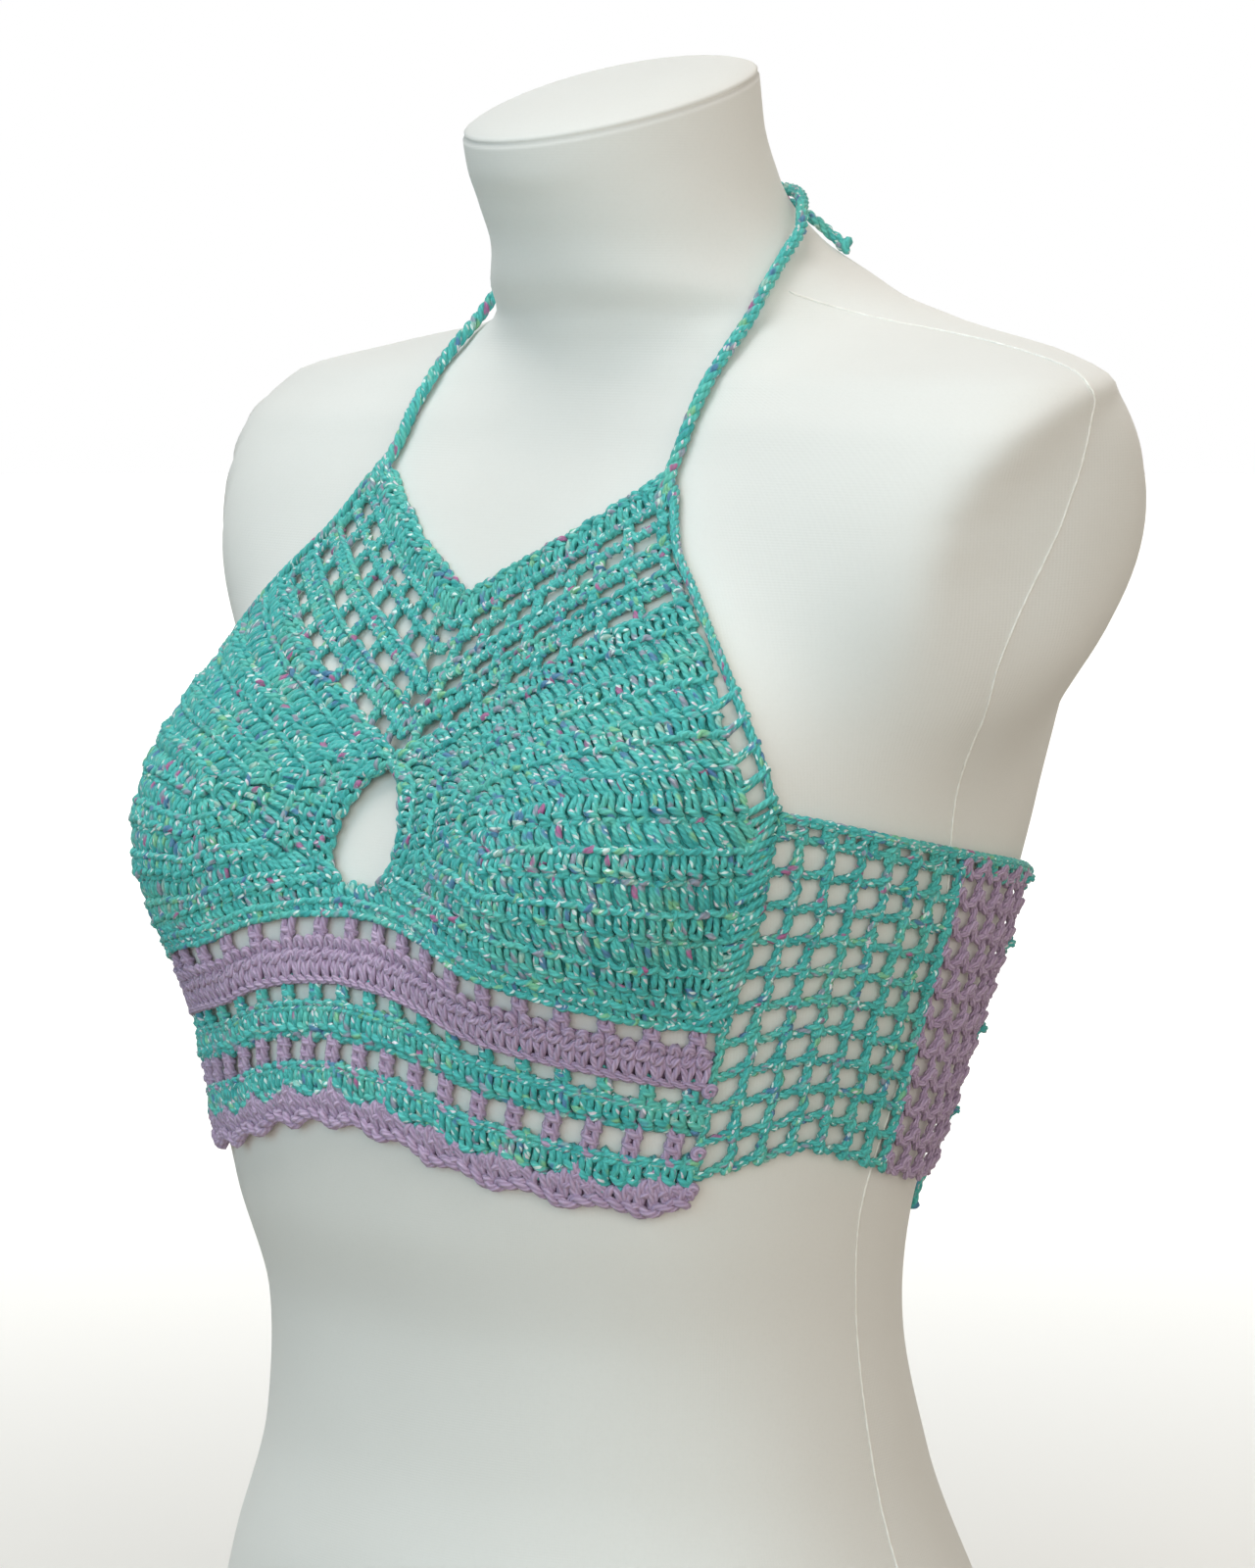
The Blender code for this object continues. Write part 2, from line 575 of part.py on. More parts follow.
# Free ends of the nape knot and of the lace: angle, height, distance off the form.
NAPE_TAILS = dict(
    left=np.array([(172.5, 35.66, 0.62), (163.0, 35.42, 0.42), (153.0, 35.10, 0.32),
                   (144.0, 34.75, 0.30), (136.0, 34.38, 0.30), (130.0, 34.06, 0.34)]),
    right=np.array([(-176.5, 35.55, 0.62), (-175.5, 34.85, 0.40), (-174.5, 34.00, 0.30),
                    (-173.5, 33.10, 0.28), (-172.5, 32.20, 0.28), (-172.0, 31.30, 0.28)]),
)
LACE_TAIL = np.array([(122.0, 6.96, 0.36), (123.2, 6.42, 0.41), (124.6, 5.80, 0.42),
                      (125.8, 5.10, 0.40), (126.4, 4.40, 0.32), (126.4, 3.66, 0.27)])


def smooth_route(keys, side=1, step=0.4):
    v = np.linspace(0, 1, len(keys))
    lines = [curve(v, keys[:, i]) for i in range(3)]
    q = np.linspace(0, 1, 200)
    return even(surface(side * np.radians(lines[0](q)), lines[1](q), lines[2](q)), step)


def build_tails():
    for word, keys in NAPE_TAILS.items():
        tube(f"nape_tail_{word}", smooth_route(keys), 0.40, "teal")
    for side, word in ((1, "left"), (-1, "right")):
        tube(f"lace_tail_{word}", smooth_route(LACE_TAIL, side, 0.3), LACE_THICK, "teal")


def lace_stretch(a, b, za, zb, lift):
    """One stretch of lace over the back opening, the short way over the centre back."""
    q = np.concatenate([[0, 0.012], np.linspace(0.05, 0.95, 14), [0.988, 1]])
    bend = np.array([0.07, 0.04] + [0] * 14 + [-0.04, -0.07]) * np.sign(za - zb)
    return surface(np.radians(a % 360 + (b % 360 - a % 360) * q), za + (zb - za) * q - bend,
                   LACE_OFF + lift * np.sin(np.pi * q) ** 2)


def build_lacing():
    """The two halves of the lace, crossing from edge to edge of the back opening."""
    edge, drop = BACK_EDGE + 1.1, 0.16
    for half, name in ((1, "lace_over"), (-1, "lace_under")):
        side, route, levels = half, [], list(LACE_LEVELS)
        if half > 0:
            levels[0] += 0.32
            route.append(lace_stretch(-edge, edge, levels[0] + drop, levels[0] + drop, 0.17))
        for high, low in zip(levels, levels[1:]):
            route.append(lace_stretch(side * edge, -side * edge, high - drop, low + drop,
                                      0.17 * half))
            side = -side
        tube(name, np.concatenate(route), LACE_THICK, "teal")


build_form()
for side, word in ((1, "left"), (-1, "right")):
    build_cup(f"cup_{word}", side)
    build_yoke(f"yoke_{word}", side)
    build_wrap(side, word)
    build_armhole(side, word)
    build_strap(side, word)
build_front()
build_knot()
build_tails()
build_lacing()
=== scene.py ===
"""Looks of the crochet halter top and its dress form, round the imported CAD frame.

Lengths in the tables are centimetres, heights are above the waist line and angles
are degrees from the centre front, round the form. Every yarn is a real strand.
"""

import math

import bpy
import numpy as np
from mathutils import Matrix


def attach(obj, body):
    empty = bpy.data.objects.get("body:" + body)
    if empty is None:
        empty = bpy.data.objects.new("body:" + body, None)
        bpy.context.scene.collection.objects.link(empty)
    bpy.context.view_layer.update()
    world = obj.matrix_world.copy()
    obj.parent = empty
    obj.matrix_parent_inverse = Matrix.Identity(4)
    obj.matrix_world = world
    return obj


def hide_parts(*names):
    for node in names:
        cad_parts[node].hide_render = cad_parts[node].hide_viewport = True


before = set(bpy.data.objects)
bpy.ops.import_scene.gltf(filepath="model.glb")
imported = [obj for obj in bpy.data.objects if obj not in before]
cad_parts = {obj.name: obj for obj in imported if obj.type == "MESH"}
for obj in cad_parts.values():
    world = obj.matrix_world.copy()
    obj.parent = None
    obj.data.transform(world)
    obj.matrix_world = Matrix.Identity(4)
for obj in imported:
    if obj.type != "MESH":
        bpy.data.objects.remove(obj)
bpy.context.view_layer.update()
scene = bpy.context.scene
rng = np.random.default_rng(7)

CM = 0.01
WAIST, SHIFT_Y = 16.0, -1.23

# ------------------------------------------------- the form and the cloth's cut
FORM_SECTIONS = np.array([
    (-16.0, 16.2, 1.4, 10.0, 11.6, 2.25, 2.25),
    (-12.0, 15.6, 1.0, 9.8, 11.0, 2.25, 2.25),
    (-8.4, 14.0, 0.3, 9.4, 10.0, 2.20, 2.20),
    (-4.0, 12.2, 0.1, 8.7, 8.9, 2.20, 2.20),
    (0.0, 11.65, -0.25, 8.5, 8.4, 2.20, 2.20),
    (4.0, 12.4, -0.75, 9.1, 8.8, 2.20, 2.20),
    (8.0, 13.4, -0.35, 10.0, 9.65, 2.20, 2.20),
    (11.0, 13.9, 0.1, 10.2, 10.5, 2.20, 2.20),
    (14.0, 14.3, 0.8, 10.0, 11.0, 2.20, 2.20),
    (17.0, 14.5, 1.4, 9.5, 11.3, 2.25, 2.25),
    (20.0, 14.8, 2.0, 8.6, 11.3, 2.30, 2.30),
    (23.0, 15.2, 2.4, 7.5, 10.8, 2.25, 2.25),
    (26.0, 16.0, 2.8, 6.3, 9.8, 2.15, 2.15),
    (28.5, 16.6, 3.05, 5.0, 8.35, 2.10, 2.15),
    (30.0, 16.35, 3.4, 4.6, 7.7, 2.08, 1.68),
    (31.1, 13.0, 5.3, 6.3, 5.5, 2.15, 1.55),
    (32.0, 8.65, 6.4, 7.5, 4.1, 2.20, 1.90),
    (33.2, 6.3, 4.8, 6.6, 5.0, 2.50, 2.30),
    (34.6, 5.2, 2.85, 5.15, 5.6, 2.05, 2.15),
    (36.0, 4.85, 1.55, 4.5, 5.3, 2.03, 2.03),
    (37.6, 4.75, 1.2, 4.75, 4.8, 2.00, 2.00),
    (39.6, 4.75, 0.9, 4.8, 4.8, 2.00, 2.00),
])
BUST = dict(x=8.4, z=16.2, height=3.5, width=5.0, above=6.4, below=5.0)
SHOULDER = dict(z=25.6, height=4.0, spread=0.40, tall=6.0, cut=18.6, soft=0.9)

CLEAR, CLOTH = 0.12, 0.24
SIDE, BACK_JOIN, BACK_EDGE = 65.5, 95.0, 120.0
CUP_STATIONS = np.array([
    (0.000, 15.50, 18.05, 9.78, 23.38, 9.78, 23.38),
    (0.070, 14.10, 18.00, 8.76, 22.92, 8.76, 22.92),
    (0.150, 12.40, 17.90, 7.30, 22.15, 7.30, 22.15),
    (0.230, 10.60, 17.78, 6.00, 21.35, 6.00, 21.35),
    (0.300, 8.90, 17.45, 4.90, 20.75, 4.90, 20.75),
    (0.350, 7.60, 17.00, 3.90, 20.25, 3.90, 20.25),
    (0.400, 7.60, 17.00, 2.00, 19.20, 2.00, 19.20),
    (0.445, 7.60, 17.00, 0.02, 18.10, 0.10, 18.00),
    (0.465, 7.60, 17.00, 0.80, 17.55, 0.20, 17.30),
    (0.490, 7.60, 17.00, 1.35, 16.70, 0.40, 16.50),
    (0.515, 7.60, 17.00, 1.62, 15.80, 0.60, 15.60),
    (0.540, 7.60, 17.00, 1.55, 15.00, 1.00, 14.80),
    (0.560, 7.60, 17.00, 1.00, 14.42, 1.60, 14.25),
    (0.600, 7.60, 17.00, 3.00, 14.02, 3.00, 14.02),
    (0.650, 7.60, 17.00, 5.00, 13.65, 5.00, 13.65),
    (0.700, 7.60, 17.00, 7.00, 12.98, 7.00, 12.98),
    (0.750, 8.90, 17.45, 8.60, 12.68, 8.60, 12.68),
    (0.820, 10.60, 17.78, 10.50, 12.30, 10.50, 12.30),
    (0.900, 12.60, 17.90, 12.60, 11.88, 12.60, 11.88),
    (1.000, 15.50, 18.05, 14.90, 11.65, 14.90, 11.65),
])
CUP_ROWS, CUP_TURN, CUP_CENTRE = 7, (0.35, 0.70), 0.445
NECKLINE = np.array([
    (0.000, 6.85, 27.15),
    (0.070, 6.15, 26.68),
    (0.150, 5.40, 26.20),
    (0.230, 4.60, 25.70),
    (0.300, 3.70, 25.16),
    (0.350, 2.85, 24.68),
    (0.400, 1.50, 23.98),
    (0.445, 0.00, 23.20),
])
BAND_ANGLES = np.array([0, 12, 22, 30, 40, 48, 57, 65.5])
BAND_LINES = dict(
    cup_low=(14.30, 14.12, 13.78, 13.12, 12.70, 12.32, 11.88, 11.66),
    cup_bottom=(13.35, 13.20, 12.85, 12.20, 11.75, 11.35, 10.92, 10.70),
    lilac_top=(12.56, 12.42, 12.10, 11.44, 11.06, 10.68, 10.27, 9.98),
    lilac_bottom=(11.40, 11.25, 10.90, 10.35, 9.90, 9.58, 9.20, 8.95),
    teal_top=(10.64, 10.48, 10.16, 9.60, 9.15, 8.83, 8.45, 8.23),
    teal_bottom=(9.60, 9.42, 9.12, 8.62, 8.20, 7.92, 7.58, 7.40),
    posts_bottom=(8.88, 8.70, 8.35, 7.85, 7.42, 7.12, 6.80, 6.68),
    row_bottom=(7.95, 7.75, 7.35, 6.88, 6.48, 6.22, 5.95, 5.95),
    hem=(7.05, 6.85, 6.42, 5.96, 5.58, 5.32, 5.08, 5.12),
)
SHELLS, SHELL_DROP = 11, 0.14
WRAP_ANGLES = np.array([65.5, 72.5, 79.5, 87.5, 97.5, 110, 120])
WRAP_TOP = (17.25, 16.90, 16.50, 16.08, 15.60, 15.10, 14.75)
WRAP_HEM = (6.25, 6.70, 7.05, 6.62, 5.95, 5.45, 5.45)
EDGING = 0.50
ARMHOLE = np.array([
    (0.00, 7.36, 26.74),
    (0.14, 7.82, 25.92),
    (0.30, 8.54, 24.87),
    (0.46, 9.85, 23.70),
    (0.60, 11.68, 22.05),
    (0.75, 13.75, 20.25),
    (0.90, 15.90, 18.35),
    (1.00, 16.78, 17.38),
])
STRAP = np.array([
    (6.86, -2.62, 27.38), (6.79, -2.22, 28.0), (6.74, -1.67, 29.0), (6.67, -0.95, 30.03),
    (6.61, -0.04, 31.03), (6.52, 0.98, 32.0), (6.37, 1.93, 33.1), (6.02, 3.12, 34.15),
    (5.52, 4.18, 34.84), (4.78, 4.95, 35.45), (3.90, 5.78, 35.86), (2.66, 6.58, 36.14),
    (1.02, 7.16, 36.28),
])
KNOT = dict(z=36.22, wide=0.60, deep=0.42, tall=0.46)
LACE_THICK, LACE_OFF, LACE_LEVELS = 0.26, 0.34, (14.0, 12.3, 9.6, 7.0)
NAPE_TAILS = dict(
    left=np.array([(172.5, 35.66, 0.62), (163.0, 35.42, 0.42), (153.0, 35.10, 0.32),
                   (144.0, 34.75, 0.30), (136.0, 34.38, 0.30), (130.0, 34.06, 0.34)]),
    right=np.array([(-176.5, 35.55, 0.62), (-175.5, 34.85, 0.40), (-174.5, 34.00, 0.30),
                    (-173.5, 33.10, 0.28), (-172.5, 32.20, 0.28), (-172.0, 31.30, 0.28)]),
)
LACE_TAIL = np.array([(122.0, 6.96, 0.36), (123.2, 6.42, 0.41), (124.6, 5.80, 0.42),
                      (125.8, 5.10, 0.40), (126.4, 4.40, 0.32), (126.4, 3.66, 0.27)])


def curve(keys, values):
    """A smooth line through the values that never overshoots them."""
    x, y = np.asarray(keys, float), np.asarray(values, float)
    h, d = np.diff(x), np.diff(y) / np.diff(x)
    m = np.zeros(len(x))
    both = d[:-1] * d[1:] > 0
    w1, w2 = 2 * h[1:] + h[:-1], h[1:] + 2 * h[:-1]
    with np.errstate(divide="ignore", invalid="ignore"):
        inner = (w1 + w2) / (w1 / d[:-1] + w2 / d[1:])
    m[1:-1] = np.where(both, inner, 0)
    m[0], m[-1] = d[0], d[-1]

    def at(q):
        q = np.clip(np.asarray(q, float), x[0], x[-1])
        i = np.clip(np.searchsorted(x, q, side="right") - 1, 0, len(h) - 1)
        t = (q - x[i]) / h[i]
        return (
            y[i] * (2 * t**3 - 3 * t**2 + 1)
            + m[i] * h[i] * (t**3 - 2 * t**2 + t)
            + y[i + 1] * (3 * t**2 - 2 * t**3)
            + m[i + 1] * h[i] * (t**3 - t**2)
        )

    return at


SECTION = [curve(FORM_SECTIONS[:, 0], FORM_SECTIONS[:, i]) for i in range(1, 7)]


def radius(th, z):
    """How far the form's surface is from its middle, and where that middle is."""
    half, middle, front, back, round_back, round_front = (line(z) for line in SECTION)
    c, s = np.cos(th), np.sin(th)
    depth, power = np.where(c > 0, front, back), np.where(c > 0, round_front, round_back)
    r = (np.abs(s / half) ** power + np.abs(c / depth) ** power) ** (-1 / power)
    swell = 0
    for side in (1, -1):
        dx = (r * s - side * BUST["x"]) / BUST["width"]
        dz = z - BUST["z"]
        dz = np.where(dz > 0, dz / BUST["above"], dz / BUST["below"])
        shape = np.exp(-((dx**2 + dz**2) ** 1.15))
        swell = swell + BUST["height"] * shape * np.clip((c + 0.2) / 0.8, 0, 1)
    r = r + swell
    turn = np.abs(np.abs(np.angle(np.exp(1j * th))) - np.pi / 2)
    far = (turn / SHOULDER["spread"]) ** 2 + ((z - SHOULDER["z"]) / SHOULDER["tall"]) ** 2
    r = r + SHOULDER["height"] * np.exp(-(far**1.6))
    x = np.abs(r * s) + 1e-6
    soft = SHOULDER["soft"]
    cut = SHOULDER["cut"] - soft * np.log1p(np.exp(-(x - SHOULDER["cut"]) / soft))
    return np.where((z > 14) & (x > 10), r * cut / x, r), middle


def surface(th, z, out=0.0, cloth=False):
    """Points on the form, moved out along its normal. Cloth bridges the middle of the bust."""
    th, z = np.broadcast_arrays(np.asarray(th, float), np.asarray(z, float))

    def raw(a, h):
        r, middle = radius(a, h)
        if cloth:
            r = r + 0.28 * np.exp(-((a / 0.20) ** 2)) * np.exp(-(((h - 17.5) / 3.2) ** 2))
        return np.stack([r * np.sin(a), middle - r * np.cos(a), h + 0 * a], -1)

    e = 1e-3
    across = raw(th + e, z) - raw(th - e, z)
    up = raw(th, z + e) - raw(th, z - e)
    normal = np.cross(across, up)
    normal /= np.linalg.norm(normal, axis=-1, keepdims=True)
    return raw(th, z) + normal * np.asarray(out, float)[..., None]


TAPE_Z = np.arange(4.0, 30.01, 0.25)
TAPE_TH = np.radians(np.arange(0, 181, 1.0))
_ring = surface(TAPE_TH[None, :], TAPE_Z[:, None], CLEAR + CLOTH, True)
TAPE_S = np.concatenate(
    [np.zeros((len(TAPE_Z), 1)),
     np.cumsum(np.linalg.norm(np.diff(_ring[..., :2], axis=1), axis=-1), axis=1)], axis=1)
TAPE_STEP = 0.1
_reach = np.arange(0, 42, TAPE_STEP)
TAPE_ANGLE = np.stack([np.interp(_reach, line, TAPE_TH) for line in TAPE_S])


def angle_at(s, z):
    """The angle, in radians, at tape length s from the centre front and height z."""
    s, z = np.broadcast_arrays(np.asarray(s, float), np.asarray(z, float))
    k = np.clip((z - TAPE_Z[0]) / 0.25, 0, len(TAPE_Z) - 1.001)
    i = np.clip(np.abs(s) / TAPE_STEP, 0, len(_reach) - 1.001)
    k0, i0 = k.astype(int), i.astype(int)
    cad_, fi = k - k0, i - i0
    low = TAPE_ANGLE[k0, i0] * (1 - fi) + TAPE_ANGLE[k0, i0 + 1] * fi
    high = TAPE_ANGLE[k0 + 1, i0] * (1 - fi) + TAPE_ANGLE[k0 + 1, i0 + 1] * fi
    return np.sign(s) * (low * (1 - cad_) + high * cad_)


def metres(points):
    points = np.array(points, float)
    points[..., 1] += SHIFT_Y
    points[..., 2] += WAIST
    return points * CM


BAND = {name: curve(BAND_ANGLES, line) for name, line in BAND_LINES.items()}
CUP_LINES = [curve(CUP_STATIONS[:, 0], CUP_STATIONS[:, i]) for i in range(1, 7)]
NECK_LINES = [curve(NECKLINE[:, 0], NECKLINE[:, i]) for i in (1, 2)]
TOP_LINE, HEM_LINE = curve(WRAP_ANGLES, WRAP_TOP), curve(WRAP_ANGLES, WRAP_HEM)
ARM_LINES = [curve(ARMHOLE[:, 0], ARMHOLE[:, i]) for i in (1, 2)]


def cup_place(t, q):
    fs, fz, es, ez, cs, cz = (line(t) for line in CUP_LINES)
    blend = np.clip((q - 0.5) / 0.5, 0, 1)
    blend = blend * blend * (3 - 2 * blend)
    bs, bz = cs + (es - cs) * blend, cz + (ez - cz) * blend
    return fs + (bs - fs) * q, fz + (bz - fz) * q


def cup_line(t, q):
    """Angle and height along one line of a cup, q from its foundation to its edge."""
    s, z = cup_place(t, np.full_like(t, q))
    seam = TAPE_S[:, 66] * 0.35 + TAPE_S[:, 65] * 0.65
    end_z = z[-1]
    k = (end_z - TAPE_Z[0]) / 0.25
    end_s = np.interp(k, np.arange(len(TAPE_Z)), seam)
    share = np.clip((t - CUP_TURN[1]) / (1 - CUP_TURN[1]), 0, 1) ** 1.5
    s = s + share * (min(q * 4, 1) * (end_s - s[-1]))
    th = angle_at(s, z)
    low = np.clip(q * 7 - 6, 0, 1)
    if low > 0:
        snap = BAND["cup_low"](np.degrees(th))
        z = np.where(t >= 0.56, z + low * (snap - z), z)
    return th, z


# ------------------------------------------------------------------- materials
class Nodes:
    """Short words for building a node tree."""

    def __init__(self, name):
        self.mat = bpy.data.materials.new(name)
        self.mat.use_nodes = True
        self.tree = self.mat.node_tree
        self.bsdf = self.tree.nodes["Principled BSDF"]

    def put(self, kind, **values):
        node = self.tree.nodes.new(kind)
        for key, value in values.items():
            setattr(node, key, value)
        return node

    def link(self, a, b):
        self.tree.links.new(a, b)

    def feed(self, socket, value):
        if hasattr(value, "is_output"):
            self.link(value, socket)
        else:
            socket.default_value = value

    def math(self, operation, a, b=0.0, c=0.0, clamp=False):
        node = self.put("ShaderNodeMath", operation=operation, use_clamp=clamp)
        for socket, value in zip(node.inputs, (a, b, c)):
            self.feed(socket, value)
        return node.outputs[0]

    def mix(self, share, a, b):
        node = self.put("ShaderNodeMix", data_type="RGBA")
        self.feed(node.inputs[0], share)
        for socket, value in ((node.inputs[6], a), (node.inputs[7], b)):
            self.feed(socket, value if hasattr(value, "is_output") else (*value, 1))
        return node.outputs[2]

    def above(self, value, start, width):
        """0 under start and 1 over start + width."""
        return self.math("MULTIPLY", self.math("SUBTRACT", value, start), 1 / width, clamp=True)

    def vector(self, x, y, z=0.0):
        node = self.put("ShaderNodeCombineXYZ")
        for socket, value in zip(node.inputs, (x, y, z)):
            self.feed(socket, value)
        return node.outputs[0]

    def noise(self, place, scale, detail=2.0, rough=0.5):
        node = self.put("ShaderNodeTexNoise")
        self.link(place, node.inputs["Vector"])
        node.inputs["Scale"].default_value = scale
        node.inputs["Detail"].default_value = detail
        node.inputs["Roughness"].default_value = rough
        return node.outputs[0]

    def cells(self, place, scale=1.0):
        """Distance to the nearest cell and that cell's own three random numbers."""
        node = self.put("ShaderNodeTexVoronoi")
        self.link(place, node.inputs["Vector"])
        node.inputs["Scale"].default_value = scale
        split = self.put("ShaderNodeSeparateColor")
        self.link(node.outputs["Color"], split.inputs[0])
        return node.outputs["Distance"], split.outputs[0], split.outputs[1], split.outputs[2]

    def object_place(self):
        return self.put("ShaderNodeTexCoord").outputs["Object"]

    def bump(self, height, strength, distance):
        node = self.put("ShaderNodeBump")
        node.inputs["Strength"].default_value = strength
        node.inputs["Distance"].default_value = distance
        self.link(height, node.inputs["Height"])
        self.link(node.outputs[0], self.bsdf.inputs["Normal"])

    def surface(self, **values):
        for key, value in values.items():
            self.bsdf.inputs[key.replace("_", " ")].default_value = value


def yarn_coordinates(n, plies, lay):
    """Along the yarn in mm, and across its plies; one ply for each whole number."""
    split = n.put("ShaderNodeSeparateXYZ")
    n.link(n.put("ShaderNodeUVMap", uv_map="yarn").outputs[0], split.inputs[0])
    u, v = split.outputs[0], split.outputs[1]
    ply = n.math("MULTIPLY_ADD", u, 1 / lay, n.math("MULTIPLY", v, plies))
    ridge = n.math("PINGPONG", ply, 0.5)
    return u, v, ply, n.math("MULTIPLY", ridge, 2.0)


def teal_yarn(name="teal_yarn"):
    n = Nodes(name)
    u, v, ply, ridge = yarn_coordinates(n, 3, 2.6)
    here = n.object_place()
    patch = n.noise(here, 60, 2)
    length = n.noise(n.vector(n.math("MULTIPLY", u, 1 / 11), n.math("MULTIPLY", ply, 0.13)), 1, 2)
    colour = n.mix(n.above(length, 0.34, 0.26), (0.038, 0.415, 0.410), (0.105, 0.610, 0.565))
    colour = n.mix(n.math("MULTIPLY", n.above(patch, 0.50, 0.20), 0.50), colour,
                   (0.190, 0.640, 0.470))
    # dyed lengths: pink, mauve, blue, lime and cream, closer together in some places
    more = n.math("MULTIPLY_ADD", n.above(n.noise(here, 30, 1), 0.38, 0.30), 0.62, 0.38)
    edge, pick, tone, _ = n.cells(n.vector(n.math("MULTIPLY", u, 1 / 5.0),
                                           n.math("MULTIPLY", ply, 0.50)))
    near = n.math("SUBTRACT", 1.0, n.above(edge, 0.40, 0.20))
    for low, high, hue, share in (
        (0.0, 0.060, (0.56, 0.070, 0.300), 0.85),
        (0.06, 0.230, (0.450, 0.310, 0.460), 0.75),
        (0.23, 0.330, (0.100, 0.140, 0.430), 0.75),
        (0.33, 0.430, (0.380, 0.680, 0.240), 0.55),
        (0.43, 0.500, (0.720, 0.740, 0.620), 0.50),
    ):
        inside = n.math("MULTIPLY", n.math("GREATER_THAN", pick, low),
                        n.math("LESS_THAN", pick,
                               n.math("MULTIPLY_ADD", more, high - low, low)))
        inside = n.math("MULTIPLY", n.math("MULTIPLY", inside, near), share)
        colour = n.mix(inside, colour, hue)
    # painted shade: the grooves between the plies are darkened towards deep teal
    painted_groove_shade = n.math("POWER", n.math("SUBTRACT", 1.0, ridge), 2.0)
    colour = n.mix(n.math("MULTIPLY", painted_groove_shade, 0.42), colour, (0.020, 0.250, 0.250))
    # a fine shiny thread; its short glints are painted highlights in the base colour, near-white or pinkish,
    # with lower roughness there
    edge, pick, tone, _ = n.cells(n.vector(n.math("MULTIPLY", u, 1 / 2.7),
                                           n.math("MULTIPLY", ply, 1.35)))
    painted_glint = n.math("MULTIPLY", n.math("GREATER_THAN", pick, 0.63),
                   n.math("SUBTRACT", 1.0, n.above(edge, 0.27, 0.12)))
    painted_glint_colour = n.mix(n.math("GREATER_THAN", tone, 0.66), (0.84, 0.95, 0.93), (0.90, 0.76, 0.85))
    colour = n.mix(n.math("MULTIPLY", painted_glint, 0.85), colour, painted_glint_colour)
    n.link(colour, n.bsdf.inputs["Base Color"])
    n.link(n.math("MULTIPLY_ADD", painted_glint, -0.32, 0.68), n.bsdf.inputs["Roughness"])
    fibre = n.noise(n.vector(n.math("MULTIPLY", u, 1.2), n.math("MULTIPLY", ply, 3.0)), 1, 2)
    n.bump(n.math("MULTIPLY_ADD", fibre, 0.35, ridge), 0.75, 0.00045)
    n.surface(Sheen_Weight=0.14, Sheen_Roughness=0.5)
    return n.mat


def lilac_yarn(name="lilac_yarn"):
    n = Nodes(name)
    u, v, ply, ridge = yarn_coordinates(n, 4, 2.9)
    here = n.object_place()
    length = n.noise(n.vector(n.math("MULTIPLY", u, 1 / 9), n.math("MULTIPLY", ply, 0.2)), 1, 3)
    colour = n.mix(n.above(length, 0.32, 0.34), (0.472, 0.338, 0.518), (0.605, 0.460, 0.655))
    colour = n.mix(n.math("MULTIPLY", n.above(n.noise(here, 160, 3), 0.5, 0.2), 0.25), colour,
                   (0.70, 0.56, 0.75))
    # painted shade: the grooves between the plies are darkened towards deep purple
    painted_groove_shade = n.math("POWER", n.math("SUBTRACT", 1.0, ridge), 1.6)
    colour = n.mix(n.math("MULTIPLY", painted_groove_shade, 0.60), colour, (0.235, 0.140, 0.250))
    n.link(colour, n.bsdf.inputs["Base Color"])
    fibre = n.noise(n.vector(n.math("MULTIPLY", u, 1.6), n.math("MULTIPLY", ply, 3.5)), 1, 3)
    n.bump(n.math("MULTIPLY_ADD", fibre, 0.45, ridge), 0.8, 0.0005)
    n.surface(Roughness=0.92, Sheen_Weight=0.22, Sheen_Roughness=0.6)
    return n.mat


def shaded_ground_cloth(name, dark, light):
    """The backs of the stitches between the loops, coloured darker than their yarn as painted shade."""
    n = Nodes(name)
    here = n.object_place()
    fine = n.noise(here, 700, 3, 0.6)
    colour = n.mix(n.above(fine, 0.40, 0.24), dark, light)
    n.link(colour, n.bsdf.inputs["Base Color"])
    n.bump(fine, 0.5, 0.0004)
    n.surface(Roughness=0.95)
    return n.mat


def jersey():
    n = Nodes("jersey_cover")
    here = n.object_place()
    soft = n.noise(here, 7, 3)
    colour = n.mix(n.above(soft, 0.35, 0.35), (0.775, 0.757, 0.722), (0.815, 0.800, 0.770))
    fine = n.noise(here, 900, 2, 0.6)
    colour = n.mix(n.math("MULTIPLY", n.above(fine, 0.45, 0.3), 0.10), colour, (0.68, 0.66, 0.62))
    n.link(colour, n.bsdf.inputs["Base Color"])
    # fine knitted wales and courses
    split = n.put("ShaderNodeSeparateXYZ")
    n.link(here, split.inputs[0])
    wale = n.math("SINE", n.math("MULTIPLY", n.math("ARCTAN2", split.outputs[0], split.outputs[1]), 900.0))
    course = n.math("SINE", n.math("MULTIPLY", split.outputs[2], 7500.0))
    n.bump(n.math("MULTIPLY_ADD", wale, 0.5, n.math("MULTIPLY_ADD", course, 0.35, fine)),
           0.16, 0.00012)
    n.surface(Roughness=0.88, Sheen_Weight=0.15, Sheen_Roughness=0.5)
    return n.mat


def seam_thread():
    n = Nodes("seam_thread")
    here = n.object_place()
    colour = n.mix(n.above(n.noise(here, 300, 2), 0.4, 0.3), (0.86, 0.83, 0.78), (0.94, 0.92, 0.88))
    n.link(colour, n.bsdf.inputs["Base Color"])
    n.bump(n.noise(here, 1500, 2), 0.3, 0.0002)
    n.surface(Roughness=0.9)
    return n.mat


TEAL, LILAC = teal_yarn(), lilac_yarn()
# painted shade: the grounds under the stitches are darker than their yarns
TEAL_SHADED_GROUND = shaded_ground_cloth("teal_backs", (0.022, 0.240, 0.238), (0.070, 0.450, 0.425))
LILAC_SHADED_GROUND = shaded_ground_cloth("lilac_backs", (0.200, 0.120, 0.210), (0.390, 0.270, 0.410))
JERSEY, SEAM_THREAD = jersey(), seam_thread()


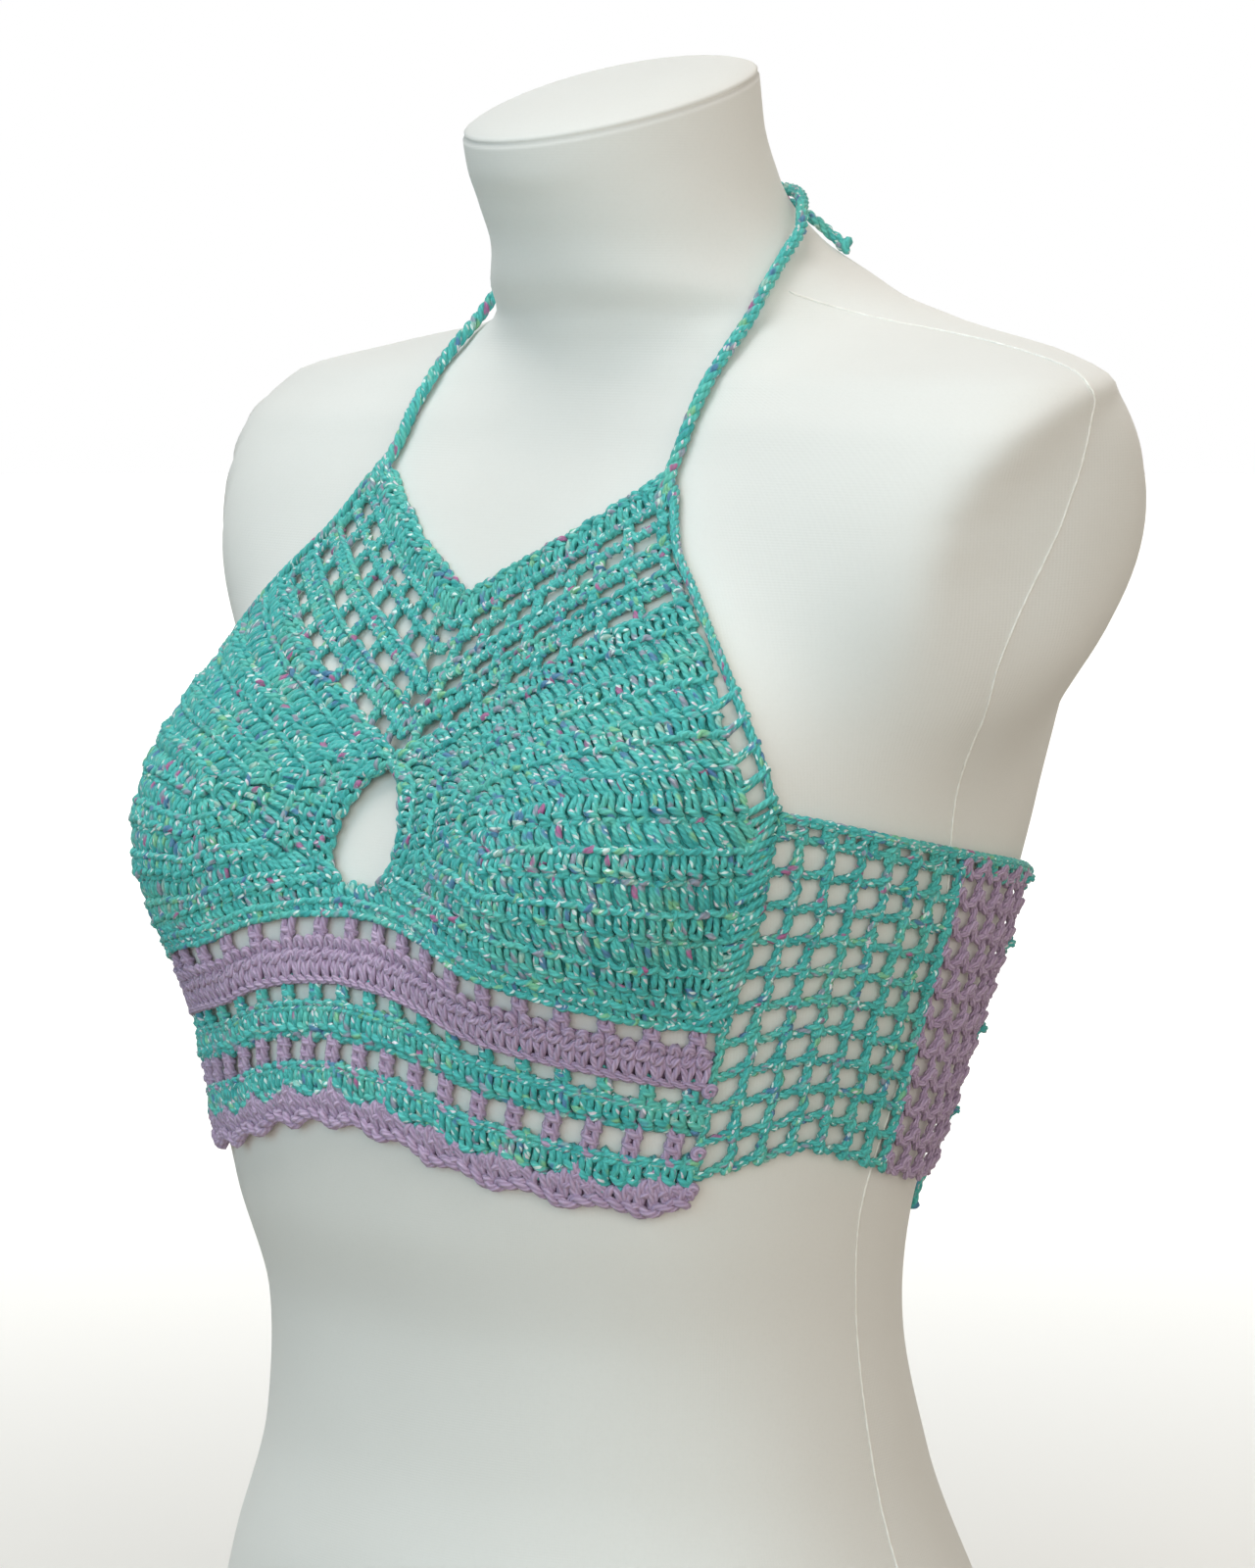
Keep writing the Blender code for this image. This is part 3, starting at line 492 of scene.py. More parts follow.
# ----------------------------------------------------------------- yarn strands
def smooth(keys, parts):
    """A smooth line through the keys, with this many steps between two of them."""
    keys = np.asarray(keys, float)
    ends = np.concatenate([[2 * keys[0] - keys[1]], keys, [2 * keys[-1] - keys[-2]]])
    p0, p1, p2, p3 = ends[:-3], ends[1:-2], ends[2:-1], ends[3:]
    made = []
    for k in range(parts):
        t = k / parts
        made.append(0.5 * (2 * p1 + (p2 - p0) * t + (2 * p0 - 5 * p1 + 4 * p2 - p3) * t**2
                           + (3 * p1 - p0 - 3 * p2 + p3) * t**3))
    line = np.stack(made, 1).reshape(-1, keys.shape[1])
    return np.concatenate([line, keys[-1:]])


def even(points, step):
    """The same route with its points evenly apart."""
    points = np.asarray(points, float)
    far = np.concatenate([[0], np.cumsum(np.linalg.norm(np.diff(points, axis=0), axis=1))])
    count = max(4, int(round(far[-1] / step)))
    at = np.linspace(0, far[-1], count + 1)
    return np.stack([np.interp(at, far, points[:, i]) for i in range(3)], -1)


def frames(points):
    """Directions along and across a line that turn as little as they can."""
    along = np.gradient(points, axis=0)
    along /= np.linalg.norm(along, axis=1, keepdims=True) + 1e-12
    t0 = along[0]
    start = np.cross(t0, (0.3, 0.2, 0.93) if abs(t0[2]) < 0.8 else (1.0, 0.1, 0.0))
    start /= np.linalg.norm(start)
    x, y, z = (float(c) for c in start)
    across = []
    for a, b, c in along.tolist():
        dot = x * a + y * b + z * c
        x, y, z = x - dot * a, y - dot * b, z - dot * c
        size = math.sqrt(x * x + y * y + z * z) or 1.0
        x, y, z = x / size, y / size, z / size
        across.append((x, y, z))
    across = np.array(across)
    return along, across, np.cross(along, across)


class Yarn:
    """Strands that become one mesh. Its UV map holds mm along the yarn and the way round it."""

    def __init__(self, sides=5):
        self.sides, self.points, self.rings, self.starts = sides, [], [], []
        self.lengths, self.offset, self.loose = [], 0.0, []
        self.count = 0

    def strand(self, points, thick):
        """points in cm, thick is the yarn's radius in cm, one number or one for each point"""
        points = np.asarray(points, float)
        gap = np.linalg.norm(np.diff(points, axis=0), axis=1)
        keep = np.concatenate([[True], gap > 1e-4])
        points = points[keep]
        thick = np.broadcast_to(np.asarray(thick, float), (len(keep),))[keep].copy()
        along, a, b = frames(points)
        thick[0] *= 0.55
        thick[-1] *= 0.55
        k = self.sides
        turn = np.arange(k) * 2 * np.pi / k
        ring = (points[:, None] + thick[:, None, None]
                * (np.cos(turn)[None, :, None] * a[:, None] + np.sin(turn)[None, :, None] * b[:, None]))
        far = np.concatenate([[0], np.cumsum(np.linalg.norm(np.diff(points, axis=0), axis=1))]) * 10
        self.points.append(ring.reshape(-1, 3))
        self.rings.append((self.count, len(points)))
        self.lengths.append(far + self.offset)
        self.offset += far[-1] + 37.3
        if self.offset > 20000:
            self.offset -= 19871.3
        self.count += len(points) * k

    def arrays(self):
        """points, corners, corner counts and UVs of all the strands"""
        k = self.sides
        corners, uvs, totals = [], [], []
        j = np.arange(k)
        for (start, n), far in zip(self.rings, self.lengths):
            i = np.arange(n - 1)
            a = start + i[:, None] * k + j[None]
            b = start + i[:, None] * k + (j[None] + 1) % k
            quad = np.stack([a, b, b + k, a + k], -1).reshape(-1, 4)
            u = np.broadcast_to(far[:-1, None], (n - 1, k))
            w = np.broadcast_to(far[1:, None], (n - 1, k))
            v0 = np.broadcast_to(j[None] / k, (n - 1, k))
            v1 = v0 + 1 / k
            uv = np.stack([np.stack([u, v0], -1), np.stack([u, v1], -1),
                           np.stack([w, v1], -1), np.stack([w, v0], -1)], 2).reshape(-1, 2)
            corners += [quad.ravel(), start + j[::-1], start + (n - 1) * k + j]
            cap = np.stack([np.full(k, far[0]), j / k], -1)
            uvs += [uv, cap[::-1], cap + (far[-1] - far[0], 0)]
            totals += [np.full(len(quad), 4), [k, k]]
        return (np.concatenate(self.points), np.concatenate(corners), np.concatenate(totals),
                np.concatenate(uvs))

    def mesh(self, name, finish, slot, replaces=()):
        return mesh_from(name, *self.arrays(), [(finish, None)], slot, replaces)


class Cloth:
    """A thin ground of closed layers, and the open-work strands that belong to the same piece."""

    def __init__(self):
        self.points, self.corners, self.totals, self.uvs, self.index = [], [], [], [], []
        self.count = 0

    def take(self, points, corners, totals, uvs, index):
        self.points.append(points)
        self.corners.append(np.asarray(corners) + self.count)
        self.totals.append(np.asarray(totals))
        self.uvs.append(uvs)
        self.index.append(np.full(len(totals), index))
        self.count += len(points)

    def layer(self, th, z, low=0.125, high=0.185, skip=None):
        """A closed layer over a grid of places, rows by columns, with some cells left open."""
        rows, columns = th.shape
        grid = np.arange(rows * columns).reshape(rows, columns)
        quads = np.stack([grid[:-1, :-1], grid[:-1, 1:], grid[1:, 1:], grid[1:, :-1]], -1)
        quads = quads.reshape(-1, 4)
        if skip is not None:
            quads = quads[~skip.ravel()]
        inner = surface(th.ravel(), z.ravel(), low, True)
        outer = surface(th.ravel(), z.ravel(), high, True)
        n = rows * columns
        mid = quads[len(quads) // 2]
        normal = np.cross(outer[mid[1]] - outer[mid[0]], outer[mid[2]] - outer[mid[1]])
        if np.dot(normal, outer[mid[0]] - inner[mid[0]]) < 0:
            quads = quads[:, ::-1]
        ends = np.concatenate([quads[:, [i, (i + 1) % 4]] for i in range(4)])
        key, back = ends[:, 0] * n + ends[:, 1], ends[:, 1] * n + ends[:, 0]
        rim = ends[~np.isin(key, back)]
        sides = np.stack([rim[:, 0], rim[:, 1], rim[:, 1] + n, rim[:, 0] + n], -1)
        faces = np.concatenate([quads + n, quads[:, ::-1], sides])
        used, faces = np.unique(faces, return_inverse=True)
        faces = faces.reshape(-1)
        self.take(np.concatenate([inner, outer])[used], faces, np.full(len(faces) // 4, 4),
                  np.zeros((len(faces), 2)), 0)

    def yarn(self, strands):
        self.take(*strands.arrays(), 1)

    def mesh(self, name, ground, finish, slot, replaces=()):
        return mesh_from(name, np.concatenate(self.points), np.concatenate(self.corners),
                         np.concatenate(self.totals), np.concatenate(self.uvs),
                         [(ground, None), (finish, np.concatenate(self.index))], slot, replaces)


def mesh_from(name, points, corners, totals, uvs, finishes, slot, replaces=()):
    data = bpy.data.meshes.new(name)
    points = metres(points)
    data.vertices.add(len(points))
    data.vertices.foreach_set("co", points.astype(np.float32).ravel())
    data.loops.add(len(corners))
    data.loops.foreach_set("vertex_index", corners.astype(np.int32))
    data.polygons.add(len(totals))
    data.polygons.foreach_set("loop_start", (np.cumsum(totals) - totals).astype(np.int32))
    data.polygons.foreach_set("use_smooth", np.ones(len(totals), bool))
    for finish, index in finishes:
        data.materials.append(finish)
        if index is not None:
            data.polygons.foreach_set("material_index", index.astype(np.int32))
    layer = data.uv_layers.new(name="yarn")
    layer.uv.foreach_set("vector", uvs.astype(np.float32).ravel())
    data.update(calc_edges=True)
    made = bpy.data.objects.new(name, data)
    scene.collection.objects.link(made)
    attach(made, "root")
    if replaces:
        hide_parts(*replaces)
    return made


def wet_area(obj):
    """The surface of a piece's mesh in square metres."""
    data = obj.data
    sizes = np.zeros(len(data.polygons))
    data.polygons.foreach_get("area", sizes)
    return float(sizes.sum())


# --------------------------------------------------------------- crochet stitches
class Row:
    """A row of crochet between two lines: at(x, y, d) with x in cm along it, y from 0 to 1 across
    it and d off the form's surface."""

    def __init__(self, th0, z0, th1, z1, side=1):
        self.th = np.stack([th0, th1]) * side
        self.z = np.stack([z0, z1])
        mid = surface(self.th.mean(0), self.z.mean(0), 0.3, True)
        self.far = np.concatenate([[0], np.cumsum(np.linalg.norm(np.diff(mid, axis=0), axis=1))])
        self.length = float(self.far[-1])

    def place(self, x, y):
        i = np.interp(x, self.far, np.arange(len(self.far)))
        k = np.clip(i.astype(int), 0, len(self.far) - 2)
        f = i - k
        th = self.th[:, k] * (1 - f) + self.th[:, k + 1] * f
        z = self.z[:, k] * (1 - f) + self.z[:, k + 1] * f
        return th[0] + (th[1] - th[0]) * y, z[0] + (z[1] - z[0]) * y

    def at(self, line):
        line = np.asarray(line, float)
        th, z = self.place(line[:, 0], line[:, 1])
        return surface(th, z, 0.14 + (line[:, 2] - 0.14) * 0.84, True)


# One stitch along a row: x in stitches, y in rows, d in cm off the form.
FRONT = np.array([
    (0.02, 1.03, 0.20), (0.30, 1.08, 0.17), (0.60, 1.00, 0.17), (0.73, 0.84, 0.27),
    (0.74, 0.58, 0.36), (0.71, 0.30, 0.34), (0.63, 0.05, 0.20), (0.47, -0.08, 0.13),
    (0.33, 0.04, 0.20), (0.29, 0.28, 0.34), (0.27, 0.48, 0.36), (0.10, 0.58, 0.24),
    (0.34, 0.68, 0.42), (0.64, 0.77, 0.42), (0.92, 0.84, 0.26), (0.66, 0.93, 0.15),
    (0.42, 0.95, 0.24), (0.58, 0.97, 0.33), (0.82, 0.96, 0.31),
])
BACK = np.array([
    (0.00, 0.97, 0.32), (0.22, 1.02, 0.38), (0.52, 1.04, 0.39), (0.80, 1.00, 0.36),
    (0.90, 0.90, 0.24), (0.82, 0.78, 0.21), (0.74, 0.60, 0.28), (0.62, 0.36, 0.30),
    (0.51, 0.13, 0.24), (0.42, -0.05, 0.14), (0.24, -0.02, 0.14), (0.16, 0.14, 0.22),
    (0.24, 0.38, 0.30), (0.34, 0.60, 0.28), (0.46, 0.77, 0.22), (0.62, 0.88, 0.15),
    (0.86, 0.92, 0.18),
])
# a double crochet in thick cotton: a round top, a slanted wrap and a heart of two legs
PLAIN = np.array([
    (0.00, 0.05, 0.30), (0.14, -0.06, 0.37), (0.38, -0.06, 0.38), (0.52, 0.06, 0.32),
    (0.40, 0.20, 0.24), (0.14, 0.24, 0.29), (0.02, 0.34, 0.33), (0.22, 0.43, 0.36),
    (0.55, 0.36, 0.37), (0.80, 0.28, 0.29), (0.84, 0.42, 0.28), (0.72, 0.62, 0.35),
    (0.60, 0.84, 0.34), (0.50, 0.98, 0.24), (0.40, 0.84, 0.31), (0.26, 0.66, 0.35),
    (0.16, 0.54, 0.28), (0.36, 0.46, 0.16), (0.70, 0.24, 0.15), (0.90, 0.10, 0.20),
])
LOW = np.array([
    (0.00, 0.94, 0.31), (0.25, 0.98, 0.37), (0.55, 1.00, 0.37), (0.85, 0.92, 0.30),
    (0.78, 0.62, 0.24), (0.66, 0.24, 0.27), (0.50, -0.05, 0.16), (0.28, 0.10, 0.22),
    (0.30, 0.45, 0.31), (0.52, 0.74, 0.24), (0.78, 0.86, 0.18),
])


def stitches(yarn, row, keys, pitch, thick, parts=2, wobble=1.0, ends=(0.0, 0.0), lift=0.0, lean=0.0):
    """One yarn worked along a whole row."""
    span = row.length - sum(ends)
    count = max(1, int(round(span / pitch)))
    step = span / count
    line = np.repeat(keys[None], count, 0).copy()
    line[..., 0] += np.arange(count)[:, None]
    line[..., 0] += lean * (line[..., 1] - 0.5)
    line[..., :2] += rng.normal(0, 0.028 * wobble, (count, len(keys), 2))
    line[..., :2] += rng.normal(0, 0.035 * wobble, (count, 1, 2))
    line[..., 2] += rng.normal(0, 0.010 * wobble, (count, len(keys))) + lift
    line[..., 0] = line[..., 0] * step + ends[0]
    line = smooth(line.reshape(-1, 3), parts)
    yarn.strand(row.at(line), thick * (1 + rng.normal(0, 0.03)))
    return count


def rope(yarn, points, spread, thick, pitch, strands=2, phase=0.0, step=0.12):
    """Strands twisted round a line."""
    points = even(points, step)
    _, a, b = frames(points)
    far = np.concatenate([[0], np.cumsum(np.linalg.norm(np.diff(points, axis=0), axis=1))])
    for k in range(strands):
        turn = 2 * np.pi * (far / pitch + k / strands) + phase
        spot = points + spread * (np.cos(turn)[:, None] * a + np.sin(turn)[:, None] * b)
        yarn.strand(spot, thick)


def chain(yarn, row, y, pitch, thick, d=0.27, x0=0.0, x1=None, width=0.11, wobble=1.0):
    """A crochet chain along a row: each link a flat loop that the next one comes out of."""
    x1 = row.length if x1 is None else x1
    count = max(1, int(round((x1 - x0) / pitch)))
    step = (x1 - x0) / count
    high = float(np.mean(np.linalg.norm(
        surface(row.th[1], row.z[1], 0.3, True) - surface(row.th[0], row.z[0], 0.3, True), axis=1)))
    w = width / max(high, 0.2)
    link = np.array([
        (0.00, 0.0, -0.05), (0.25, 0.75, 0.00), (0.60, 1.0, 0.04), (1.02, 0.62, 0.05),
        (1.18, 0.0, -0.02), (1.02, -0.62, 0.05), (0.60, -1.0, 0.04), (0.25, -0.75, 0.00),
    ])
    line = np.repeat(link[None], count, 0).copy()
    line[..., 0] += np.arange(count)[:, None]
    line[..., 0] = x0 + line[..., 0] * step
    line[..., 1] = (line[..., 1] + rng.normal(0, 0.10 * wobble, (count, len(link)))) * w
    line[..., 1] += (np.interp(line[..., 0], [x0, x1], y) if np.ndim(y) else y)
    line[..., 2] += d + rng.normal(0, 0.006 * wobble, (count, len(link)))
    yarn.strand(row.at(smooth(line.reshape(-1, 3), 2)), thick)


def post(yarn, row, x, wide, y0, y1, thick, d=0.26, turns=1, lean=0.0, parts=3):
    """A single open-work post: up one side, a wrap or two across it, and down the other."""
    h, w = y1 - y0, wide / 2 - thick * 0.8
    keys = [(-w * 0.6, -0.06, -0.12), (-w, 0.08, -0.02), (-w * 1.0, 0.30, 0.02)]
    for k in range(turns):
        c = (k + 0.62) / (turns + 0.25)
        keys += [(-w * 1.1, c - 0.14, 0.02), (-w * 1.5, c - 0.05, -0.04), (-w * 0.2, c + 0.03, 0.11),
                 (w * 1.5, c + 0.11, -0.03), (0, c + 0.10, -0.11), (-w * 1.0, c + 0.06, -0.02)]
    keys += [(-w * 0.8, 0.90, -0.02), (-w * 0.2, 1.06, -0.12), (w * 0.8, 0.98, -0.04),
             (w * 1.05, 0.74, 0.02), (w * 1.0, 0.40, 0.03), (w * 1.0, 0.10, 0.00),
             (w * 0.5, -0.06, -0.12)]
    keys = np.array(keys)
    keys[:, 0] += x + lean * (keys[:, 1] - 0.5) + rng.normal(0, 0.008, len(keys))
    keys[:, 1] = y0 + keys[:, 1] * h
    keys[:, 2] += d
    yarn.strand(row.at(smooth(keys, parts)), thick)


def lines_to_row(th, low, high, side=1):
    return Row(th, low, th, high, side)


# --------------------------------------------------------------- camera and light
def set_camera():
    data = bpy.data.cameras.new("photo_camera")
    made = bpy.data.objects.new("photo_camera", data)
    scene.collection.objects.link(made)
    data.lens, data.sensor_width, data.clip_start, data.clip_end = 138.4, 36.0, 0.05, 60.0
    back = np.array([0.7403, -0.6666, 0.0872])
    aim = np.array([0.00859, -0.00276, 0.330])
    made.location = aim + 1.95 * back
    from mathutils import Vector
    made.rotation_mode = "QUATERNION"
    made.rotation_quaternion = Vector(-back).to_track_quat("-Z", "Y")
    scene.camera = made


def lamp(name, kind, place, aim, power, size, colour=(1, 1, 1)):
    from mathutils import Vector
    data = bpy.data.lights.new(name, kind)
    data.energy, data.color = power, colour
    if kind == "AREA":
        data.shape, data.size = "DISK", size
    else:
        data.angle = size
    made = bpy.data.objects.new(name, data)
    made.location = place
    made.rotation_mode = "QUATERNION"
    made.rotation_quaternion = (Vector(aim) - Vector(place)).to_track_quat("-Z", "Y")
    scene.collection.objects.link(made)


def set_stage():
    # a pale floor that fades into white light far from the part
    radii = [0.3, 0.6, 1.0, 1.6, 2.5, 4.0, 7.0, 12.0]
    turn = np.arange(64) * 2 * np.pi / 64
    rings = [np.stack([r * np.cos(turn), r * np.sin(turn), np.full(64, -0.0006)], -1)
             for r in radii]
    points = np.concatenate([[[0, 0, -0.0006]], *rings])
    faces = [(0, 1 + i, 1 + (i + 1) % 64) for i in range(64)]
    for j in range(len(rings) - 1):
        a = 1 + j * 64
        faces += [(a + i, a + 64 + i, a + 64 + (i + 1) % 64, a + (i + 1) % 64) for i in range(64)]
    data = bpy.data.meshes.new("studio_floor")
    data.from_pydata([tuple(p) for p in points], [], faces)
    n = Nodes("studio_paper")
    n.surface(Roughness=0.95)
    n.bsdf.inputs["Base Color"].default_value = (0.76, 0.75, 0.73, 1)
    n.bsdf.inputs["Emission Color"].default_value = (1, 1, 1, 1)
    split = n.put("ShaderNodeSeparateXYZ")
    n.link(n.object_place(), split.inputs[0])
    far = n.math("SQRT", n.math("ADD", n.math("MULTIPLY", split.outputs[0], split.outputs[0]),
                                n.math("MULTIPLY", split.outputs[1], split.outputs[1])))
    n.link(n.math("MULTIPLY", n.above(far, 0.30, 1.3), 0.50), n.bsdf.inputs["Emission Strength"])
    # what it throws back on the part is dimmer and warmer than what the eye sees
    dim = n.put("ShaderNodeBsdfDiffuse")
    dim.inputs["Color"].default_value = (0.36, 0.32, 0.27, 1)
    rays, mix = n.put("ShaderNodeLightPath"), n.put("ShaderNodeMixShader")
    n.link(rays.outputs["Is Camera Ray"], mix.inputs[0])
    n.link(dim.outputs[0], mix.inputs[1])
    n.link(n.bsdf.outputs[0], mix.inputs[2])
    n.link(mix.outputs[0], n.mat.node_tree.nodes["Material Output"].inputs["Surface"])
    data.materials.append(n.mat)
    floor = bpy.data.objects.new("studio_floor", data)
    scene.collection.objects.link(floor)
    world = bpy.data.worlds.new("studio")
    world.use_nodes = True
    tree = world.node_tree
    shade = tree.nodes["Background"]
    shade.inputs["Color"].default_value = (1.0, 0.88, 0.76, 1)
    shade.inputs["Strength"].default_value = 0.145
    white = tree.nodes.new("ShaderNodeBackground")
    white.inputs["Color"].default_value = (1, 1, 1, 1)
    white.inputs["Strength"].default_value = 1.0
    rays, mix = tree.nodes.new("ShaderNodeLightPath"), tree.nodes.new("ShaderNodeMixShader")
    tree.links.new(rays.outputs["Is Camera Ray"], mix.inputs[0])
    tree.links.new(shade.outputs[0], mix.inputs[1])
    tree.links.new(white.outputs[0], mix.inputs[2])
    tree.links.new(mix.outputs[0], tree.nodes["World Output"].inputs["Surface"])
    scene.world = world
    for name, way, power, size, colour in (
        ("key", (-0.16, -0.22, 0.962), 1.82, 40, (1.0, 1.0, 0.985)),
        ("side_fill", (0.815, -0.565, 0.120), 1.80, 64, (1.0, 0.985, 0.92)),
        ("cool_fill", (-0.060, -0.990, 0.10), 1.50, 66, (0.50, 0.83, 1.0)),
        ("right_fill", (0.985, 0.150, 0.080), 0.30, 60, (0.98, 1.0, 0.95)),
        ("back_fill", (0.060, 0.938, 0.342), 0.72, 60, (1.0, 0.95, 0.84)),
        ("far_fill", (-0.620, 0.760, 0.190), 0.70, 40, (0.94, 0.98, 1.0)),
    ):
        lamp(name, "SUN", way, (0, 0, 0), power, math.radians(size), colour)
    scene.view_settings.view_transform = "Standard"
    scene.view_settings.look = "None"
    scene.view_settings.exposure = 0.0


set_camera()
set_stage()


# --------------------------------------------------------------------- the cords
def smooth_route(keys, side=1, step=0.4):
    v = np.linspace(0, 1, len(keys))
    lines = [curve(v, keys[:, i]) for i in range(3)]
    q = np.linspace(0, 1, 200)
    return even(surface(side * np.radians(lines[0](q)), lines[1](q), lines[2](q)), step)


def corded(name, route, node, thick, strands, pitch, knot):
    """A free cord: plied strands along the route, with a little knot at its end."""
    yarn = Yarn(6)
    spread = thick / 2 * (0.50 if strands > 2 else 0.42)
    rope(yarn, route, spread, thick / 2 - spread, pitch, strands, step=0.09)
    end, along = route[-1], route[-1] - route[-2]
    along = along / np.linalg.norm(along)
    a = np.cross(along, (0, 0, 1) if abs(along[2]) < 0.8 else (1, 0, 0))
    a /= np.linalg.norm(a)
    b = np.cross(along, a)
    w = np.linspace(0, 2.6 * np.pi, 26)
    loop = (end - along * knot * 0.9 + along[None] * (w / w[-1] * knot * 1.1)[:, None]
            + knot * 0.52 * (np.cos(w)[:, None] * a + np.sin(w)[:, None] * b))
    yarn.strand(loop, knot * 0.46)
    made = yarn.mesh(name, TEAL, "teal", (node,))
    tuple(metres(route[0]))
    [tuple(p) for p in metres(route)]
    return made


for word, keys in NAPE_TAILS.items():
    corded(f"nape_tail_{word}_cord", smooth_route(keys), f"nape_tail_{word}", 0.40, 3, 1.5, 0.30)
for side, word in ((1, "left"), (-1, "right")):
    corded(f"lace_tail_{word}_cord", smooth_route(LACE_TAIL, side, 0.3), f"lace_tail_{word}",
           LACE_THICK, 2, 0.8, 0.21)


def make_straps():
    for side, word in ((1, "left"), (-1, "right")):
        v = np.linspace(0, 1, len(STRAP))
        lines = [curve(v, STRAP[:, i]) for i in range(3)]
        q = np.linspace(0, 1, 400)
        route = np.stack([side * lines[0](q), lines[1](q), lines[2](q)], -1)
        yarn = Yarn(6)

        def corner(s, z, d):
            return surface(side * angle_at(np.array([s]), np.array([z])), np.array([z]), d, True)

        root = np.concatenate([corner(6.98, 25.95, 0.20), corner(6.98, 26.40, 0.30),
                               corner(7.02, 26.95, 0.33), route[:1], route[12:13]])
        rope(yarn, np.concatenate([smooth(root, 8)[:-1], route[12:]]), 0.108, 0.112, 1.25 * side, 3)
        # the last stitches of the yoke close up round it
        for s0, s1, z0, z1 in ((5.95, 6.62, 26.45, 26.92), (6.30, 6.78, 26.30, 26.90),
                               (7.55, 7.22, 26.10, 26.78), (7.30, 7.10, 26.00, 26.70)):
            keys = np.concatenate([corner(s0, z0, 0.24), corner((s0 + s1) / 2, (z0 + z1) / 2, 0.34),
                                   corner(s1, z1, 0.36), route[:1] * 0.6 + route[12:13] * 0.4,
                                   route[24:25]])
            rope(yarn, smooth(keys, 6), 0.050, 0.088, 0.75, 2)
        yarn.mesh(f"strap_{word}_cord", TEAL, "teal", (f"strap_{word}",))


def make_knot():
    centre = surface(np.pi, KNOT["z"], KNOT["deep"] + 0.27).reshape(3)
    w = np.linspace(0, 2 * np.pi, 110)
    loop = np.stack([0.46 * (np.sin(w) + 1.25 * np.sin(2 * w)) * 0.62,
                     0.21 * np.sin(3 * w),
                     0.25 * (np.cos(w) - 1.25 * np.cos(2 * w)) * 0.62], -1)
    yarn = Yarn(6)
    rope(yarn, centre + loop, 0.095, 0.105, 1.1, 3, step=0.08)
    # the straps run into it, and the tails come out of it
    for end, before in ((STRAP[-1], STRAP[-2]), (STRAP[-1] * (-1, 1, 1), STRAP[-2] * (-1, 1, 1))):
        way = (end - before) / np.linalg.norm(end - before)
        rope(yarn, smooth(np.array([end - way * 0.10, end + way * 0.25, centre + (end - centre) * 0.35,
                                    centre * 1.0]), 8), 0.108, 0.112, 1.25, 3, step=0.09)
    for keys in NAPE_TAILS.values():
        route = smooth_route(keys)
        way = (route[1] - route[0]) / np.linalg.norm(route[1] - route[0])
        rope(yarn, smooth(np.array([centre, centre + (route[0] - centre) * 0.5 - way * 0.15,
                                    route[0] + way * 0.06]), 8), 0.100, 0.100, 1.5, 3, step=0.09)
    yarn.mesh("nape_knot_cord", TEAL, "teal", ("nape_knot",))


def lace_stretch(a, b, za, zb, lift):
    q = np.concatenate([[0, 0.012], np.linspace(0.05, 0.95, 14), [0.988, 1]])
    bend = np.array([0.07, 0.04] + [0] * 14 + [-0.04, -0.07]) * np.sign(za - zb)
    return surface(np.radians(a % 360 + (b % 360 - a % 360) * q), za + (zb - za) * q - bend,
                   LACE_OFF + lift * np.sin(np.pi * q) ** 2)


def lace_turn(side, edge, z, drop):
    """Round the panel's edge: over it, down through the mesh and back underneath."""
    keys = np.array([(edge - 0.9, z + drop * 0.95, 0.50), (edge - 2.2, z + drop * 0.7, 0.50),
                     (edge - 3.1, z + drop * 0.2, 0.30), (edge - 2.6, z - drop * 0.4, 0.15),
                     (edge - 1.2, z - drop * 0.8, 0.15)])
    return surface(side * np.radians(keys[:, 0]), keys[:, 1], keys[:, 2])


def make_lacing():
    edge, drop = BACK_EDGE + 1.1, 0.16
    for half, name in ((1, "lace_over"), (-1, "lace_under")):
        side, route, levels = half, [], list(LACE_LEVELS)
        if half > 0:
            levels[0] += 0.32
            route.append(lace_turn(-1, edge, levels[0], -drop)[::-1][1:])
            route.append(lace_stretch(-edge, edge, levels[0] + drop, levels[0] + drop, 0.05))
            route.append(lace_turn(1, edge, levels[0], drop))
        else:
            route.append(lace_turn(-1, edge, levels[0], drop)[2:])
        for high, low in zip(levels, levels[1:]):
            route.append(lace_stretch(side * edge, -side * edge, high - drop, low + drop,
                                      0.17 * half))
            side = -side
            route.append(lace_turn(side, edge, low, drop))
        # out to where the free end hangs from
        route.append(surface(side * np.radians([LACE_TAIL[0, 0] - 0.25]), [LACE_TAIL[0, 1] + 0.04],
                             [0.30]))
        yarn = Yarn(5)
        rope(yarn, np.concatenate(route), 0.058, 0.075, 0.62, 2, step=0.10)
        yarn.mesh(f"{name}_cord", TEAL, "teal", (name,))


make_straps()
make_knot()
make_lacing()


# ------------------------------------------------------------------- the crochet
def node_area(*names):
    """One side of these CAD walls, in square metres."""
    return sum(wet_area(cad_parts[n]) for n in names) / 2


def declare(names, flat, net=0.0):
    """The flat area is that of the CAD wall; an open net's is the share of its outline that is yarn. It is
    worked out and not kept.
    """
    area = flat[0] * flat[1] * (net or 1.0)
    area if net else min(area, node_area(*names))


FINE_T = np.linspace(0, 1, 460)
_v = np.linspace(0, 1, 200)
ARM_S, ARM_Z = ARM_LINES[0](_v), ARM_LINES[1](_v)


def to_edge(s, z, share):
    """Draws the start of a row out towards the armhole's edge."""
    k = int(np.argmin(np.hypot(ARM_S - s[0], ARM_Z - z[0])))
    way = np.array([ARM_S[k] - s[0], ARM_Z[k] - z[0]])
    gap = float(np.hypot(*way))
    way = way / max(gap, 1e-6) * max(gap - 0.15, 0) * share
    weight = np.exp(-(np.hypot(s - s[0], z - z[0]) / 0.5) ** 2)
    return s + way[0] * weight, z + way[1] * weight


